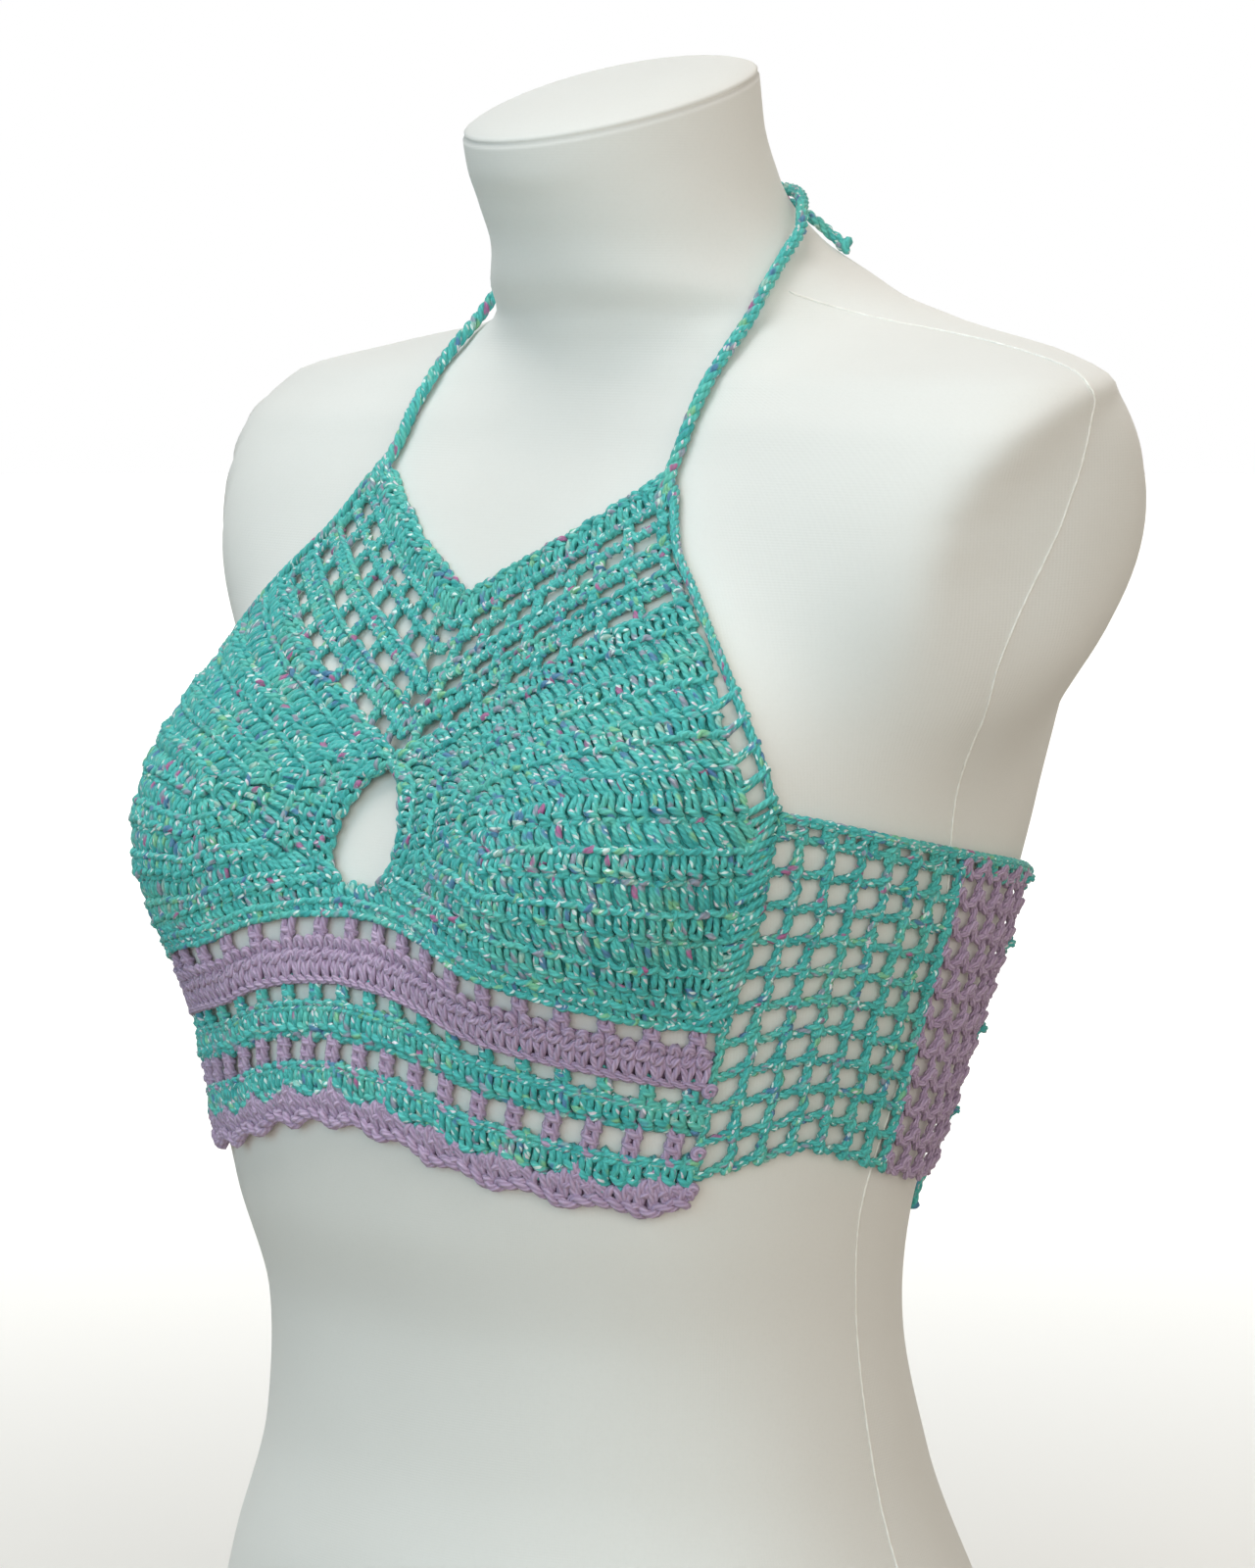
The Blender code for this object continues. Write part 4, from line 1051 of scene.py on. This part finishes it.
def cup_row_line(t, q):
    """As cup_line, with the upper rows drawn out to the armhole's edge."""
    s, z = cup_place(t, np.full_like(t, q))
    th, _ = cup_line(t, q)
    share = float(np.clip((q - 0.42) / 0.2, 0, 1))
    ps, pz = to_edge(s, z, share)
    return th + angle_at(ps, pz) - angle_at(s, z), pz
TEAL_R, LILAC_R = 0.119, 0.142


def make_cup(side, word):
    yarn = Yarn(5)
    for k in range(CUP_ROWS):
        th0, z0 = cup_row_line(FINE_T, k / CUP_ROWS)
        th1, z1 = cup_row_line(FINE_T, (k + 1) / CUP_ROWS)
        row = Row(th0, z0, th1, z1, side)
        keys = FRONT if k % 2 == 0 else BACK
        stitches(yarn, row, keys, 0.52, TEAL_R, ends=(0.04, 0.10))
    # the joining stitches down the side seam, slanted over the row ends
    for h in np.arange(11.2, 17.75, 0.285):
        th = np.radians(SIDE - 0.5) + rng.normal(0, 0.004)
        keys = np.array([(-0.052, -0.16, 0.20), (-0.042, -0.12, 0.33), (-0.018, 0.00, 0.41),
                         (0.004, 0.14, 0.40), (0.014, 0.20, 0.25)])
        keys = keys + rng.normal(0, 0.010, keys.shape) * (0.35, 2.5, 1)
        keys[:, 0] *= rng.uniform(0.75, 1.2)
        line = smooth(keys, 4)
        yarn.strand(surface(side * (th + line[:, 0]), h + line[:, 1] * 1.25, line[:, 2], True),
                    TEAL_R * 1.05)
    made = yarn.mesh(f"cup_{word}_stitches", TEAL, "teal")
    cloth = Cloth()
    t = np.linspace(0.004, 0.994, 100)
    rows = [cup_line(t, q) for q in np.linspace(0, 0.99, 26)]
    th, z = (np.stack(x) for x in zip(*rows))
    # drawn in a little at the open edges, so that only stitches show there
    cloth.layer(side * th, z)
    piece = cloth.mesh(f"cup_{word}_cloth", TEAL_SHADED_GROUND, TEAL, "teal", (f"cup_{word}",))
    declare((f"cup_{word}",), (0.178, 0.165))


# openwork rows of the yoke from the cup's edge to the neckline: kind and height in cm
YOKE_PLAN = (("open", 0.60), ("plain", 0.42), ("open", 0.62), ("low", 0.27), ("open", 0.68),
             ("open", 0.56), ("edge", 0.72))


def yoke_line(t, q):
    ls, lz = (line(t) for line in CUP_LINES[2:4])
    ts, tz = (line(t) for line in NECK_LINES)
    s, z = ls + (ts - ls) * q, lz + (tz - lz) * q
    s = s - 0.42 * 4 * q * (1 - q) * np.clip(1 - t / 0.05, 0, 1)
    s, z = to_edge(s, z, 1.0 if q < 0.98 else 0.3)
    return np.maximum(angle_at(s, z), 0.0022), z


def make_yoke(side, word):
    yarn, cloth = Yarn(5), Cloth()
    t = FINE_T[FINE_T <= CUP_CENTRE]
    total = sum(h for _, h in YOKE_PLAN)
    low = 0.0
    for kind, h in YOKE_PLAN:
        high = low + h / total
        row = Row(*yoke_line(t, low), *yoke_line(t, high), side)
        if kind == "open":
            # the first hole at the centre front is wide, and so is the last by the armhole
            first, last = 0.34, row.length - 0.80
            count = max(2, int(round((last - first) / 1.30)) + 1)
            at = np.linspace(first, last, count) + rng.normal(0, 0.05, count)
            for x in at:
                post(yarn, row, x, 0.34, -0.12, 0.96, TEAL_R * 0.92, d=0.22,
                     lean=rng.normal(0.06, 0.03))
            chain(yarn, row, 0.90, 0.46, TEAL_R * 0.88, d=0.25, width=0.055)
            # the next row's loops caught round the chain
            hops = int(row.length / 0.36)
            for i in range(hops):
                x = (i + 0.5) * row.length / hops + rng.normal(0, 0.02)
                keys = np.array([(0.0, 0.82, 0.18), (0.03, 0.78, 0.28), (0.08, 0.88, 0.34),
                                 (0.12, 1.04, 0.31), (0.13, 1.12, 0.22)])
                keys[:, 0] += x
                yarn.strand(row.at(smooth(keys, 3)), TEAL_R * 0.85)
            # solid under the chain, and behind the posts
            x = np.linspace(0.05, row.length - 0.05, 120)
            grid = [row.place(x, np.full_like(x, y)) for y in (0.84, 1.03)]
            cloth.layer(*(np.stack(g) for g in zip(*grid)))
            for c in at:
                xs = np.linspace(c - 0.10, c + 0.10, 3)
                grid = [row.place(xs, np.full_like(xs, y)) for y in (-0.02, 0.80)]
                cloth.layer(*(np.stack(g) for g in zip(*grid)))
        else:
            keys = {"plain": BACK, "low": LOW, "edge": FRONT}[kind]
            stitches(yarn, row, keys, 0.50, TEAL_R * 0.95, ends=(0.02, 0.04), lift=-0.03)
            x = np.linspace(0.04, row.length - 0.03, 100)
            ys = (0.0, 0.5, 0.94) if kind == "edge" else (-0.03, 0.5, 1.0)
            grid = [row.place(x, np.full_like(x, y)) for y in ys]
            cloth.layer(*(np.stack(g) for g in zip(*grid)))
        low = high
    made = yarn.mesh(f"yoke_{word}_stitches", TEAL, "teal")
    piece = cloth.mesh(f"yoke_{word}_cloth", TEAL_SHADED_GROUND, TEAL, "teal", (f"yoke_{word}",))
    declare((f"yoke_{word}",), (0.118, 0.048), net=0.66)


FRONT_TH = np.radians(np.linspace(-SIDE + 0.1, SIDE - 0.1, 520))


def band_row(top, bottom):
    """A row of the underband, worked downwards: y is 0 at its top."""
    deg = np.abs(np.degrees(FRONT_TH))
    return Row(FRONT_TH, BAND[top](deg), FRONT_TH, BAND[bottom](deg))


def ground_under(cloth, row, y0, y1, columns=150, rows=3, inset=0.03):
    x = np.linspace(inset, row.length - inset, columns)
    grid = [row.place(x, np.full_like(x, y)) for y in np.linspace(y0, y1, rows)]
    cloth.layer(*(np.stack(g) for g in zip(*grid)))


def make_front():
    # the teal row that joins the cups: loops above, a plain firm edge below
    yarn, cloth = Yarn(5), Cloth()
    row = band_row("cup_low", "cup_bottom")
    upper = Row(row.th[0], row.z[0], row.th[1], row.z[0] + (row.z[1] - row.z[0]) * 0.50)
    lower = Row(row.th[0], row.z[0] + (row.z[1] - row.z[0]) * 0.50, row.th[1], row.z[1] + 0.07)
    stitches(yarn, upper, BACK, 0.52, TEAL_R)
    stitches(yarn, lower, LOW, 0.44, TEAL_R, lift=0.02)
    ground_under(cloth, row, -0.02, 0.95)
    made = yarn.mesh("cup_base_row_stitches", TEAL, "teal")
    piece = cloth.mesh("cup_base_row_cloth", TEAL_SHADED_GROUND, TEAL, "teal", ("cup_base_row",))
    declare(("cup_base_row",), (0.36, 0.0105))

    # lilac: open posts, then thick double crochet with a rope-like edge
    yarn, open_yarn, cloth = Yarn(5), Yarn(6), Cloth()
    gaps = band_row("cup_bottom", "lilac_top")
    dense = band_row("lilac_top", "lilac_bottom")
    count = 21
    spots = (np.arange(count) + 0.5) / count
    for s in spots:
        post(open_yarn, gaps, s * gaps.length, 0.47, -0.22, 1.12, LILAC_R * 0.92, d=0.22,
             lean=rng.normal(0, 0.02))
    stitches(yarn, dense, PLAIN, 0.46, LILAC_R * 0.92, lift=-0.01, ends=(0.05, 0.10))
    low_edge = np.stack([np.linspace(0.02, dense.length - 0.02, 700), np.full(700, 0.995),
                         np.full(700, 0.33)], -1)
    rope(yarn, dense.at(low_edge), 0.078, 0.098, 0.85, 2)
    ground_under(cloth, dense, -0.02, 0.95)
    cloth.yarn(open_yarn)
    made = yarn.mesh("lilac_band_stitches", LILAC, "lilac")
    piece = cloth.mesh("lilac_band_cloth", LILAC_SHADED_GROUND, LILAC, "lilac", ("lilac_band",))
    declare(("lilac_band",), (0.35, 0.0205))

    # teal: open posts, then double crochet
    yarn, open_yarn, cloth = Yarn(5), Yarn(6), Cloth()
    gaps = band_row("lilac_bottom", "teal_top")
    dense = band_row("teal_top", "teal_bottom")
    dense = Row(dense.th[0], dense.z[0], dense.th[1], dense.z[1] + 0.12)
    for s in spots:
        post(open_yarn, gaps, (s + 0.004) * gaps.length, 0.44, -0.16, 1.15, TEAL_R * 1.05, d=0.22,
             lean=rng.normal(0.02, 0.02))
    stitches(yarn, dense, FRONT, 0.52, TEAL_R * 1.05)
    chain(yarn, dense, 0.04, 0.50, TEAL_R, d=0.30, width=0.10)
    ground_under(cloth, dense, 0.0, 0.97)
    cloth.yarn(open_yarn)
    made = yarn.mesh("teal_band_stitches", TEAL, "teal")
    piece = cloth.mesh("teal_band_cloth", TEAL_SHADED_GROUND, TEAL, "teal", ("teal_band",))
    declare(("teal_band",), (0.345, 0.019))

    # lilac posts that run down over the top of the next row
    open_yarn, cloth = Yarn(6), Cloth()
    gaps = band_row("teal_bottom", "posts_bottom")
    for s in spots:
        x = (s - 0.006) * gaps.length
        post(open_yarn, gaps, x, 0.48, -0.22, 1.45, LILAC_R * 0.92, d=0.25, turns=3,
             lean=rng.normal(-0.14, 0.03))
        across = np.linspace(x - 0.16, x + 0.16, 3)
        grid = [gaps.place(across, np.full(3, y)) for y in (-0.15, 0.5, 1.15)]
        cloth.layer(*(np.stack(g) for g in zip(*grid)))
    made = open_yarn.mesh("lilac_post_row_yarn", LILAC, "lilac")
    piece = cloth.mesh("lilac_post_row_backs", LILAC_SHADED_GROUND, LILAC, "lilac", ("lilac_post_row",))
    declare(("lilac_post_row",), (0.34, 0.0105), net=0.30)

    # the last teal row
    yarn, cloth = Yarn(5), Cloth()
    row = band_row("posts_bottom", "row_bottom")
    deg = np.abs(np.degrees(FRONT_TH))
    phase = (np.degrees(FRONT_TH) + SIDE) / (2 * SIDE) * SHELLS
    hill = 1 - np.abs(np.cos(np.pi * phase))
    row = Row(row.th[0], row.z[0] - 0.10, row.th[1], row.z[1] - 0.34 + 0.52 * hill)
    stitches(yarn, row, FRONT, 0.52, TEAL_R)
    chain(yarn, row, 0.06, 0.50, TEAL_R, d=0.29, width=0.10)
    ground_under(cloth, row, 0.0, 1.03)
    made = yarn.mesh("teal_row_stitches", TEAL, "teal")
    piece = cloth.mesh("teal_row_cloth", TEAL_SHADED_GROUND, TEAL, "teal", ("teal_row",))
    declare(("teal_row",), (0.34, 0.0100))

    # lilac shells: low fans that reach up into the teal, over a rope-like hem
    yarn, cloth = Yarn(6), Cloth()
    deg = np.abs(np.degrees(FRONT_TH))
    phase = (np.degrees(FRONT_TH) + SIDE) / (2 * SIDE) * SHELLS
    wave = BAND["hem"](deg) + SHELL_DROP * 1.35 * (np.abs(np.cos(np.pi * phase)) * 2 - 1)
    row = Row(FRONT_TH, BAND["row_bottom"](deg), FRONT_TH, wave)
    x = np.linspace(0, row.length, 900)
    line = np.stack([x, np.full(900, 0.90), np.full(900, 0.36)], -1)
    rope(yarn, row.at(line), 0.112, 0.134, 1.05, 2)
    pitch = row.length / SHELLS
    for i in range(SHELLS):
        middle = (i + 0.5) * pitch
        for k in range(-2, 3):
            part = k / 2
            head, foot = middle + part * 0.56, middle + part * pitch * 0.35
            tall = -0.36 + 0.74 * abs(part) ** 1.25
            sway = 0.085
            keys = np.array([
                (head + 0.02, tall + 0.04, 0.22), (head - sway * 0.9, tall, 0.34),
                (head * 0.6 + foot * 0.4 - sway * 1.15, 0.10, 0.40),
                (foot - sway * 0.7, 0.46, 0.36), (foot + 0.01, 0.78, 0.24),
                (foot + sway * 0.9, 0.56, 0.31),
                (head * 0.6 + foot * 0.4 + sway * 1.1, 0.12, 0.38),
                (head + sway * 0.9, tall + 0.08, 0.32), (head, tall + 0.02, 0.22),
            ])
            keys[:, :2] += rng.normal(0, 0.014, (len(keys), 2))
            yarn.strand(row.at(smooth(keys, 4)), LILAC_R * 0.95)
            # the loop that wraps round each rib
            keys = np.array([(head - 0.10, tall + 0.46, 0.30), (head - 0.02, tall + 0.39, 0.44),
                             (head + 0.10, tall + 0.36, 0.43), (head + 0.14, tall + 0.42, 0.30)])
            yarn.strand(row.at(smooth(keys, 4)), LILAC_R * 0.8)
    for i in range(SHELLS + 1):
        x0 = np.clip(i * pitch, 0.14, row.length - 0.14)
        for k in (-1, 1):
            keys = np.array([(x0 + k * 0.02, 0.30, 0.26), (x0 + k * 0.10, 0.34, 0.38),
                             (x0 + k * 0.17, 0.54, 0.38), (x0 + k * 0.20, 0.78, 0.30)])
            yarn.strand(row.at(smooth(keys, 4)), LILAC_R * 0.95)
    # knots where the lilac rows end by the side seam
    for name, y in (("lilac_bottom", 0.1), ("teal_bottom", 0.5), ("row_bottom", 0.2)):
        for side in (1, -1):
            h = float(BAND[name](SIDE)) - y
            w = np.linspace(0, 2 * np.pi * 1.8, 40)
            th = np.radians(SIDE - 0.2) * side
            spot = surface(np.full(40, th) + 0.010 * np.cos(w) * (1 + 0 * w), h + 0.13 * np.sin(w),
                           0.34 + 0.06 * np.cos(w * 0.5), True)
            yarn.strand(spot, LILAC_R * 0.9)
    made = yarn.mesh("scallop_edging_stitches", LILAC, "lilac")
    ground_under(cloth, row, 0.06, 0.96, 260)
    piece = cloth.mesh("scallop_edging_cloth", LILAC_SHADED_GROUND, LILAC, "lilac", ("scallop_edging",))
    declare(("scallop_edging",), (0.34, 0.0125))


# ------------------------------------------------------------ side and back mesh
def wrap_row(side, a, b, low=0.0, high=1.0):
    """Cloth between the hem and the top edging, y from 0 at the hem to 1."""
    deg = np.linspace(a, b, 200)
    z0, z1 = HEM_LINE(deg), TOP_LINE(deg) - EDGING
    return Row(np.radians(deg), z0 + (z1 - z0) * low, np.radians(deg), z0 + (z1 - z0) * high, side)


def make_side_mesh(side, word):
    yarn, across = Yarn(5), Yarn(5)
    row = wrap_row(side, SIDE - 0.3, BACK_JOIN - 0.1)
    columns, rows = 7, 10
    w, h = row.length / columns, 1.0 / rows
    tall = 10.2
    for i in range(columns + 1):
        # an upright: posts one above the other, each a little askew
        keys = []
        for j in range(rows + 1):
            sway = 0.07 * math.sin(j * 2.4 + i * 1.7) + rng.normal(0, 0.03)
            x = np.clip(i * w, 0.06, row.length - 0.08) + sway * (0.25 if i in (0, columns) else 1)
            keys += [(x - 0.05, j * h, 0.24), (x + 0.05, (j + 0.5) * h, 0.27)]
        keys = np.array(keys)[:-1]
        line = row.at(smooth(keys, 6))
        rope(yarn, line, 0.076, 0.099, 0.72, 2, phase=rng.uniform(0, 6), step=0.11)
    for j in range(rows + 1):
        for i in range(columns):
            # a chain from post to post, that climbs a little and ends in a slanted loop
            x0, x1 = i * w, (i + 1) * w
            y = j * h
            keys = np.array([
                (x0 - 0.10, y - 0.016, 0.17), (x0 - 0.02, y - 0.010, 0.30), (x0 + 0.25 * w, y - 0.014, 0.28),
                (x0 + 0.55 * w, y - 0.008, 0.25), (x1 - 0.14, y + 0.004, 0.28), (x1 + 0.03, y + 0.020, 0.34),
                (x1 + 0.11, y + 0.032, 0.22)])
            keys[:, :2] += rng.normal(0, (0.018, 0.0022), (len(keys), 2))
            rope(across, row.at(smooth(keys, 5)), 0.073, 0.096, 0.64, 2, phase=rng.uniform(0, 6), step=0.11)
            keys = np.array([(x1 - 0.12, y - 0.010, 0.25), (x1 - 0.03, y - 0.022, 0.35),
                             (x1 + 0.09, y - 0.004, 0.37), (x1 + 0.10, y + 0.016, 0.27)])
            across.strand(row.at(smooth(keys, 4)), 0.112)
    made = across.mesh(f"side_mesh_{word}_rows", TEAL, "teal")
    piece = yarn.mesh(f"side_mesh_{word}_yarn", TEAL, "teal", (f"side_mesh_{word}",))
    declare((f"side_mesh_{word}",), (0.085, 0.106), net=0.52)


def make_back_mesh(side, word):
    yarn, across = Yarn(6), Yarn(6)
    row = wrap_row(side, BACK_JOIN - 0.1, BACK_EDGE)
    columns, rows = 5, 10
    w, h = row.length / columns, 1.0 / rows
    for i in range(columns + 1):
        keys = []
        for j in range(rows + 1):
            x = np.clip(i * w, 0.10, row.length - 0.16) + rng.normal(0, 0.03)
            keys += [(x - 0.04, j * h, 0.24), (x + 0.04, (j + 0.5) * h, 0.28)]
        line = row.at(smooth(np.array(keys)[:-1], 6))
        rope(yarn, line, 0.062, 0.082, 0.68, 2, phase=rng.uniform(0, 6), step=0.11)
    for j in range(rows + 1):
        x = np.linspace(0.02, row.length - 0.10, 90)
        wave = 0.020 * np.sin(x / w * 2 * np.pi + 1.0)
        line = np.stack([x, j * h + wave, 0.27 + 0.04 * np.cos(x / w * 2 * np.pi)], -1)
        rope(across, row.at(line), 0.080, 0.098, 0.76, 2, phase=rng.uniform(0, 6), step=0.11)
        for i in range(columns + 1):
            x0 = np.clip(i * w, 0.12, row.length - 0.18)
            keys = np.array([(x0 - 0.16, j * h - 0.020, 0.22), (x0 - 0.10, j * h + 0.022, 0.40),
                             (x0 + 0.10, j * h + 0.034, 0.44), (x0 + 0.18, j * h - 0.010, 0.30)])
            keys[:, :2] += rng.normal(0, (0.015, 0.003), (4, 2))
            across.strand(row.at(smooth(keys, 4)), 0.102)
    made = across.mesh(f"back_mesh_{word}_rows", LILAC, "lilac")
    piece = yarn.mesh(f"back_mesh_{word}_yarn", LILAC, "lilac", (f"back_mesh_{word}",))
    declare((f"back_mesh_{word}",), (0.062, 0.095), net=0.62)


def make_top_edging(side, word):
    yarn, legs = Yarn(6), Yarn(6)
    deg = np.linspace(SIDE + 0.6, BACK_EDGE, 260)
    row = Row(np.radians(deg), TOP_LINE(deg) - EDGING, np.radians(deg), TOP_LINE(deg), side)
    chain(legs, row, 0.84, 0.46, 0.088, d=0.32, width=0.070)
    x = np.linspace(0.0, row.length, 400)
    rope(yarn, row.at(np.stack([x, np.full(400, 0.92), np.full(400, 0.24)], -1)), 0.080, 0.095, 0.8, 2)
    count = int(round(row.length / 0.88))
    for i in range(count + 1):
        x0 = np.clip(i * row.length / count, 0.12, row.length - 0.12)
        post(legs, row, x0, 0.30, -0.35, 0.82, 0.088, d=0.27, lean=-0.12)
    # a firm knob where the edging turns at the back
    end = row.at(np.array([(row.length - 0.05, 0.55, 0.34)]))[0]
    w = np.linspace(0, 2 * np.pi * 2.2, 50)
    loop = end + np.stack([0.13 * np.cos(w), 0.13 * np.sin(w), 0.16 * np.sin(w * 0.5 + 0.4)], -1)
    yarn.strand(loop, 0.115)
    made = legs.mesh(f"top_edging_{word}_legs", TEAL, "teal")
    piece = yarn.mesh(f"top_edging_{word}_yarn", TEAL, "teal", (f"top_edging_{word}",))
    declare((f"top_edging_{word}",), (0.138, 0.0100), net=0.62)


def make_armhole(side, word):
    yarn = Yarn(6)
    v = np.linspace(0, 1, 240)
    s, z = ARM_LINES[0](v), ARM_LINES[1](v)
    line = surface(angle_at(s, z) * side, z, CLEAR + 0.17, True)
    rope(yarn, line, 0.078, 0.090, 0.85 * side, 3, step=0.10)
    piece = yarn.mesh(f"armhole_edge_{word}_cord", TEAL, "teal", (f"armhole_edge_{word}",))
    # short bars from the row ends to the edge, with windows between them
    bars = Yarn(6)
    for q in (0.0, 0.145, 0.29, 0.435):
        a_s, a_z = cup_place(np.array([0.0]), np.array([q]))
        gap = np.hypot(s - a_s, z - a_z - 0.12)
        k = int(np.argmin(gap))
        for lane in (-0.10, 0.10):
            keys = np.array([(a_s[0] - 0.22, a_z[0] + lane, 0.22), (a_s[0] - 0.02, a_z[0] + lane * 1.1, 0.32),
                             ((a_s[0] + s[k]) / 2, (a_z[0] + z[k]) / 2 + lane, 0.30),
                             (s[k], z[k] + lane * 0.8, 0.36), (s[k] + 0.10, z[k] + lane * 0.5, 0.26)])
            fine = smooth(keys, 4)
            bars.strand(surface(angle_at(fine[:, 0], fine[:, 1]) * side, fine[:, 1], fine[:, 2], True),
                        0.10)
    bars.mesh(f"armhole_bars_{word}", TEAL, "teal")


for side, word in ((1, "left"), (-1, "right")):
    make_cup(side, word)
    make_yoke(side, word)
    make_side_mesh(side, word)
    make_back_mesh(side, word)
    make_top_edging(side, word)
    make_armhole(side, word)
make_front()


# ----------------------------------------------------------------------- the form
NECK_RIM, NECK_TILT, CAP_RISE = 38.9, 0.29, 0.95
EDGE_Z = (20.5, 22.9, 24.5, 26.0, 27.25, 28.25, 29.0, 29.5, 30.2)
EDGE_TH = (77.0, 76.4, 76.0, 76.8, 79.2, 82.4, 86.0, 90.0, 97.0)


def form_radius(th, z):
    """The form with the flat side where an arm would be, and the soft edge in front of it."""
    r, middle = radius(th, z)
    turn = np.abs(np.angle(np.exp(1j * np.asarray(th))))
    edge = np.radians(np.interp(z, EDGE_Z, EDGE_TH))
    back = edge + np.radians(np.interp(z, [20, 27.5, 30.5], [19, 15, 9]))
    share = np.interp(z, [20.0, 22.0, 24.0, 27.0, 28.6, 29.8, 31.2],
                      [0, 0.45, 0.85, 0.85, 0.62, 0.25, 0])
    near, far = radius(edge, z)[0], radius(back, z)[0]
    off = near * np.sin(turn - edge) + far * np.sin(back - turn)
    chord = near * far * np.sin(back - edge) / np.where(off > 1e-3, off, 1e-3)
    deep = np.clip(r - chord, -6, 6)
    cut = 0.5 * (deep + np.sqrt(deep**2 + 0.04)) * share
    rise = np.interp(z, [19.5, 22.5, 25.0, 29.0, 31.0, 32.0], [0, 0.12, 0.24, 0.22, 0.10, 0])
    away = np.sqrt((np.abs(turn - edge) / 0.135) ** 2 + 0.05) - 0.2236
    return r - cut + rise * np.clip(1 - away, 0, None) ** 1.5, middle


def make_form():
    around = 150
    levels = np.concatenate([[-16.0, -15.75], np.arange(-15.3, 26.0, 0.42),
                             np.arange(26.0, 35.0, 0.26), np.arange(35.0, NECK_RIM - 0.4, 0.34),
                             [NECK_RIM - 0.22, NECK_RIM - 0.10]])
    turn = np.arange(around) * 2 * np.pi / around
    rings = []
    for z in levels:
        r, middle = form_radius(turn, np.full_like(turn, z))
        r = r * (0.985 if z == -16.0 else 1.0)
        lean = np.clip((z - 34.5) / (NECK_RIM - 34.5), 0, 1)
        lean = NECK_TILT * lean * lean * (3 - 2 * lean)
        rings.append(np.stack([r * np.sin(turn), middle - r * np.cos(turn),
                               z - lean * r * np.cos(turn)], -1))
    r, middle = radius(turn, np.full_like(turn, NECK_RIM))
    for scale, rise in ((0.978, 0.0), (0.986, 0.05), (0.990, 0.12), (0.975, 0.20), (0.94, 0.30),
                        (0.87, 0.44), (0.78, 0.57), (0.68, 0.68), (0.55, 0.78), (0.42, 0.86),
                        (0.28, 0.915), (0.14, 0.945)):
        rings.append(np.stack([
            r * scale * np.sin(turn), middle - r * scale * np.cos(turn),
            NECK_RIM + rise * CAP_RISE - NECK_TILT * r * scale * np.cos(turn)], -1))
    base = [0.0, float(SECTION[1](-16.0)), -16.0]
    peak = [0.0, float(middle[0]), NECK_RIM + CAP_RISE * 0.952]
    points = np.concatenate(rings + [[base], [peak]])
    count, n = len(rings), around
    j, i = (g.ravel() for g in np.meshgrid(np.arange(count - 1), np.arange(n), indexing="ij"))
    k = (i + 1) % n
    quads = np.stack([j * n + i, j * n + k, (j + 1) * n + k, (j + 1) * n + i], -1)
    i = np.arange(n)
    k = (i + 1) % n
    caps = np.concatenate([np.stack([k, i, np.full(n, count * n)], -1),
                           np.stack([(count - 1) * n + i, (count - 1) * n + k,
                                     np.full(n, count * n + 1)], -1)])
    corners = np.concatenate([quads.ravel(), caps.ravel()])
    totals = np.concatenate([np.full(len(quads), 4), np.full(len(caps), 3)])
    return mesh_from("form_cover", points, corners, totals, np.zeros((len(corners), 2)),
                     [(JERSEY, None)], "jersey", ("dress_form",))


SEAMS = (
    ((8.6, 1.6, 32.9), (10.5, 2.8, 32.1), (14.2, 4.3, 31.5), (17.4, 4.5, 30.5), (18.4, 4.2, 29.0),
     (18.5, 3.7, 27.5), (18.4, 2.6, 25.2), (18.0, 1.3, 22.6), (16.9, 1.2, 20.4), (14.6, 2.1, 16.0),
     (13.9, 1.6, 11.0), (12.8, 0.1, 5.2), (11.8, 1.1, 0.2), (13.0, 1.2, -6.0), (15.6, 1.4, -15.4)),
)


def make_seams():
    """Stitched seams of the jersey cover, as fine piped lines down both sides."""
    th, z = np.meshgrid(np.radians(np.arange(20, 150, 0.5)), np.arange(-15.6, 34.0, 0.1))
    r, middle = form_radius(th, z)
    skin = np.stack([r * np.sin(th), middle - r * np.cos(th), z], -1)
    yarn = Yarn(5)
    for keys in SEAMS:
        spots = []
        for key in smooth(np.array(keys), 7):
            row = int(np.clip(np.searchsorted(z[:, 0], key[2]), 0, len(z) - 1))
            k = int(np.argmin(np.hypot(skin[row, :, 0] - key[0], skin[row, :, 1] - key[1])))
            spots.append(th[0, k])
        heights = smooth(np.array(keys), 7)[:, 2]
        bend = np.convolve(np.pad(spots, 3, mode="edge"), np.ones(7) / 7, "valid")
        r, middle = form_radius(bend, heights)
        r = r + 0.022
        line = np.stack([r * np.sin(bend), middle - r * np.cos(bend), heights], -1)
        for side in (1, -1):
            path = even(line * (side, 1, 1), 0.15)
            path = path + rng.normal(0, 0.003, path.shape)
            yarn.strand(path, 0.040)
    yarn.mesh("form_seams", SEAM_THREAD, "jersey")


make_form()
make_seams()
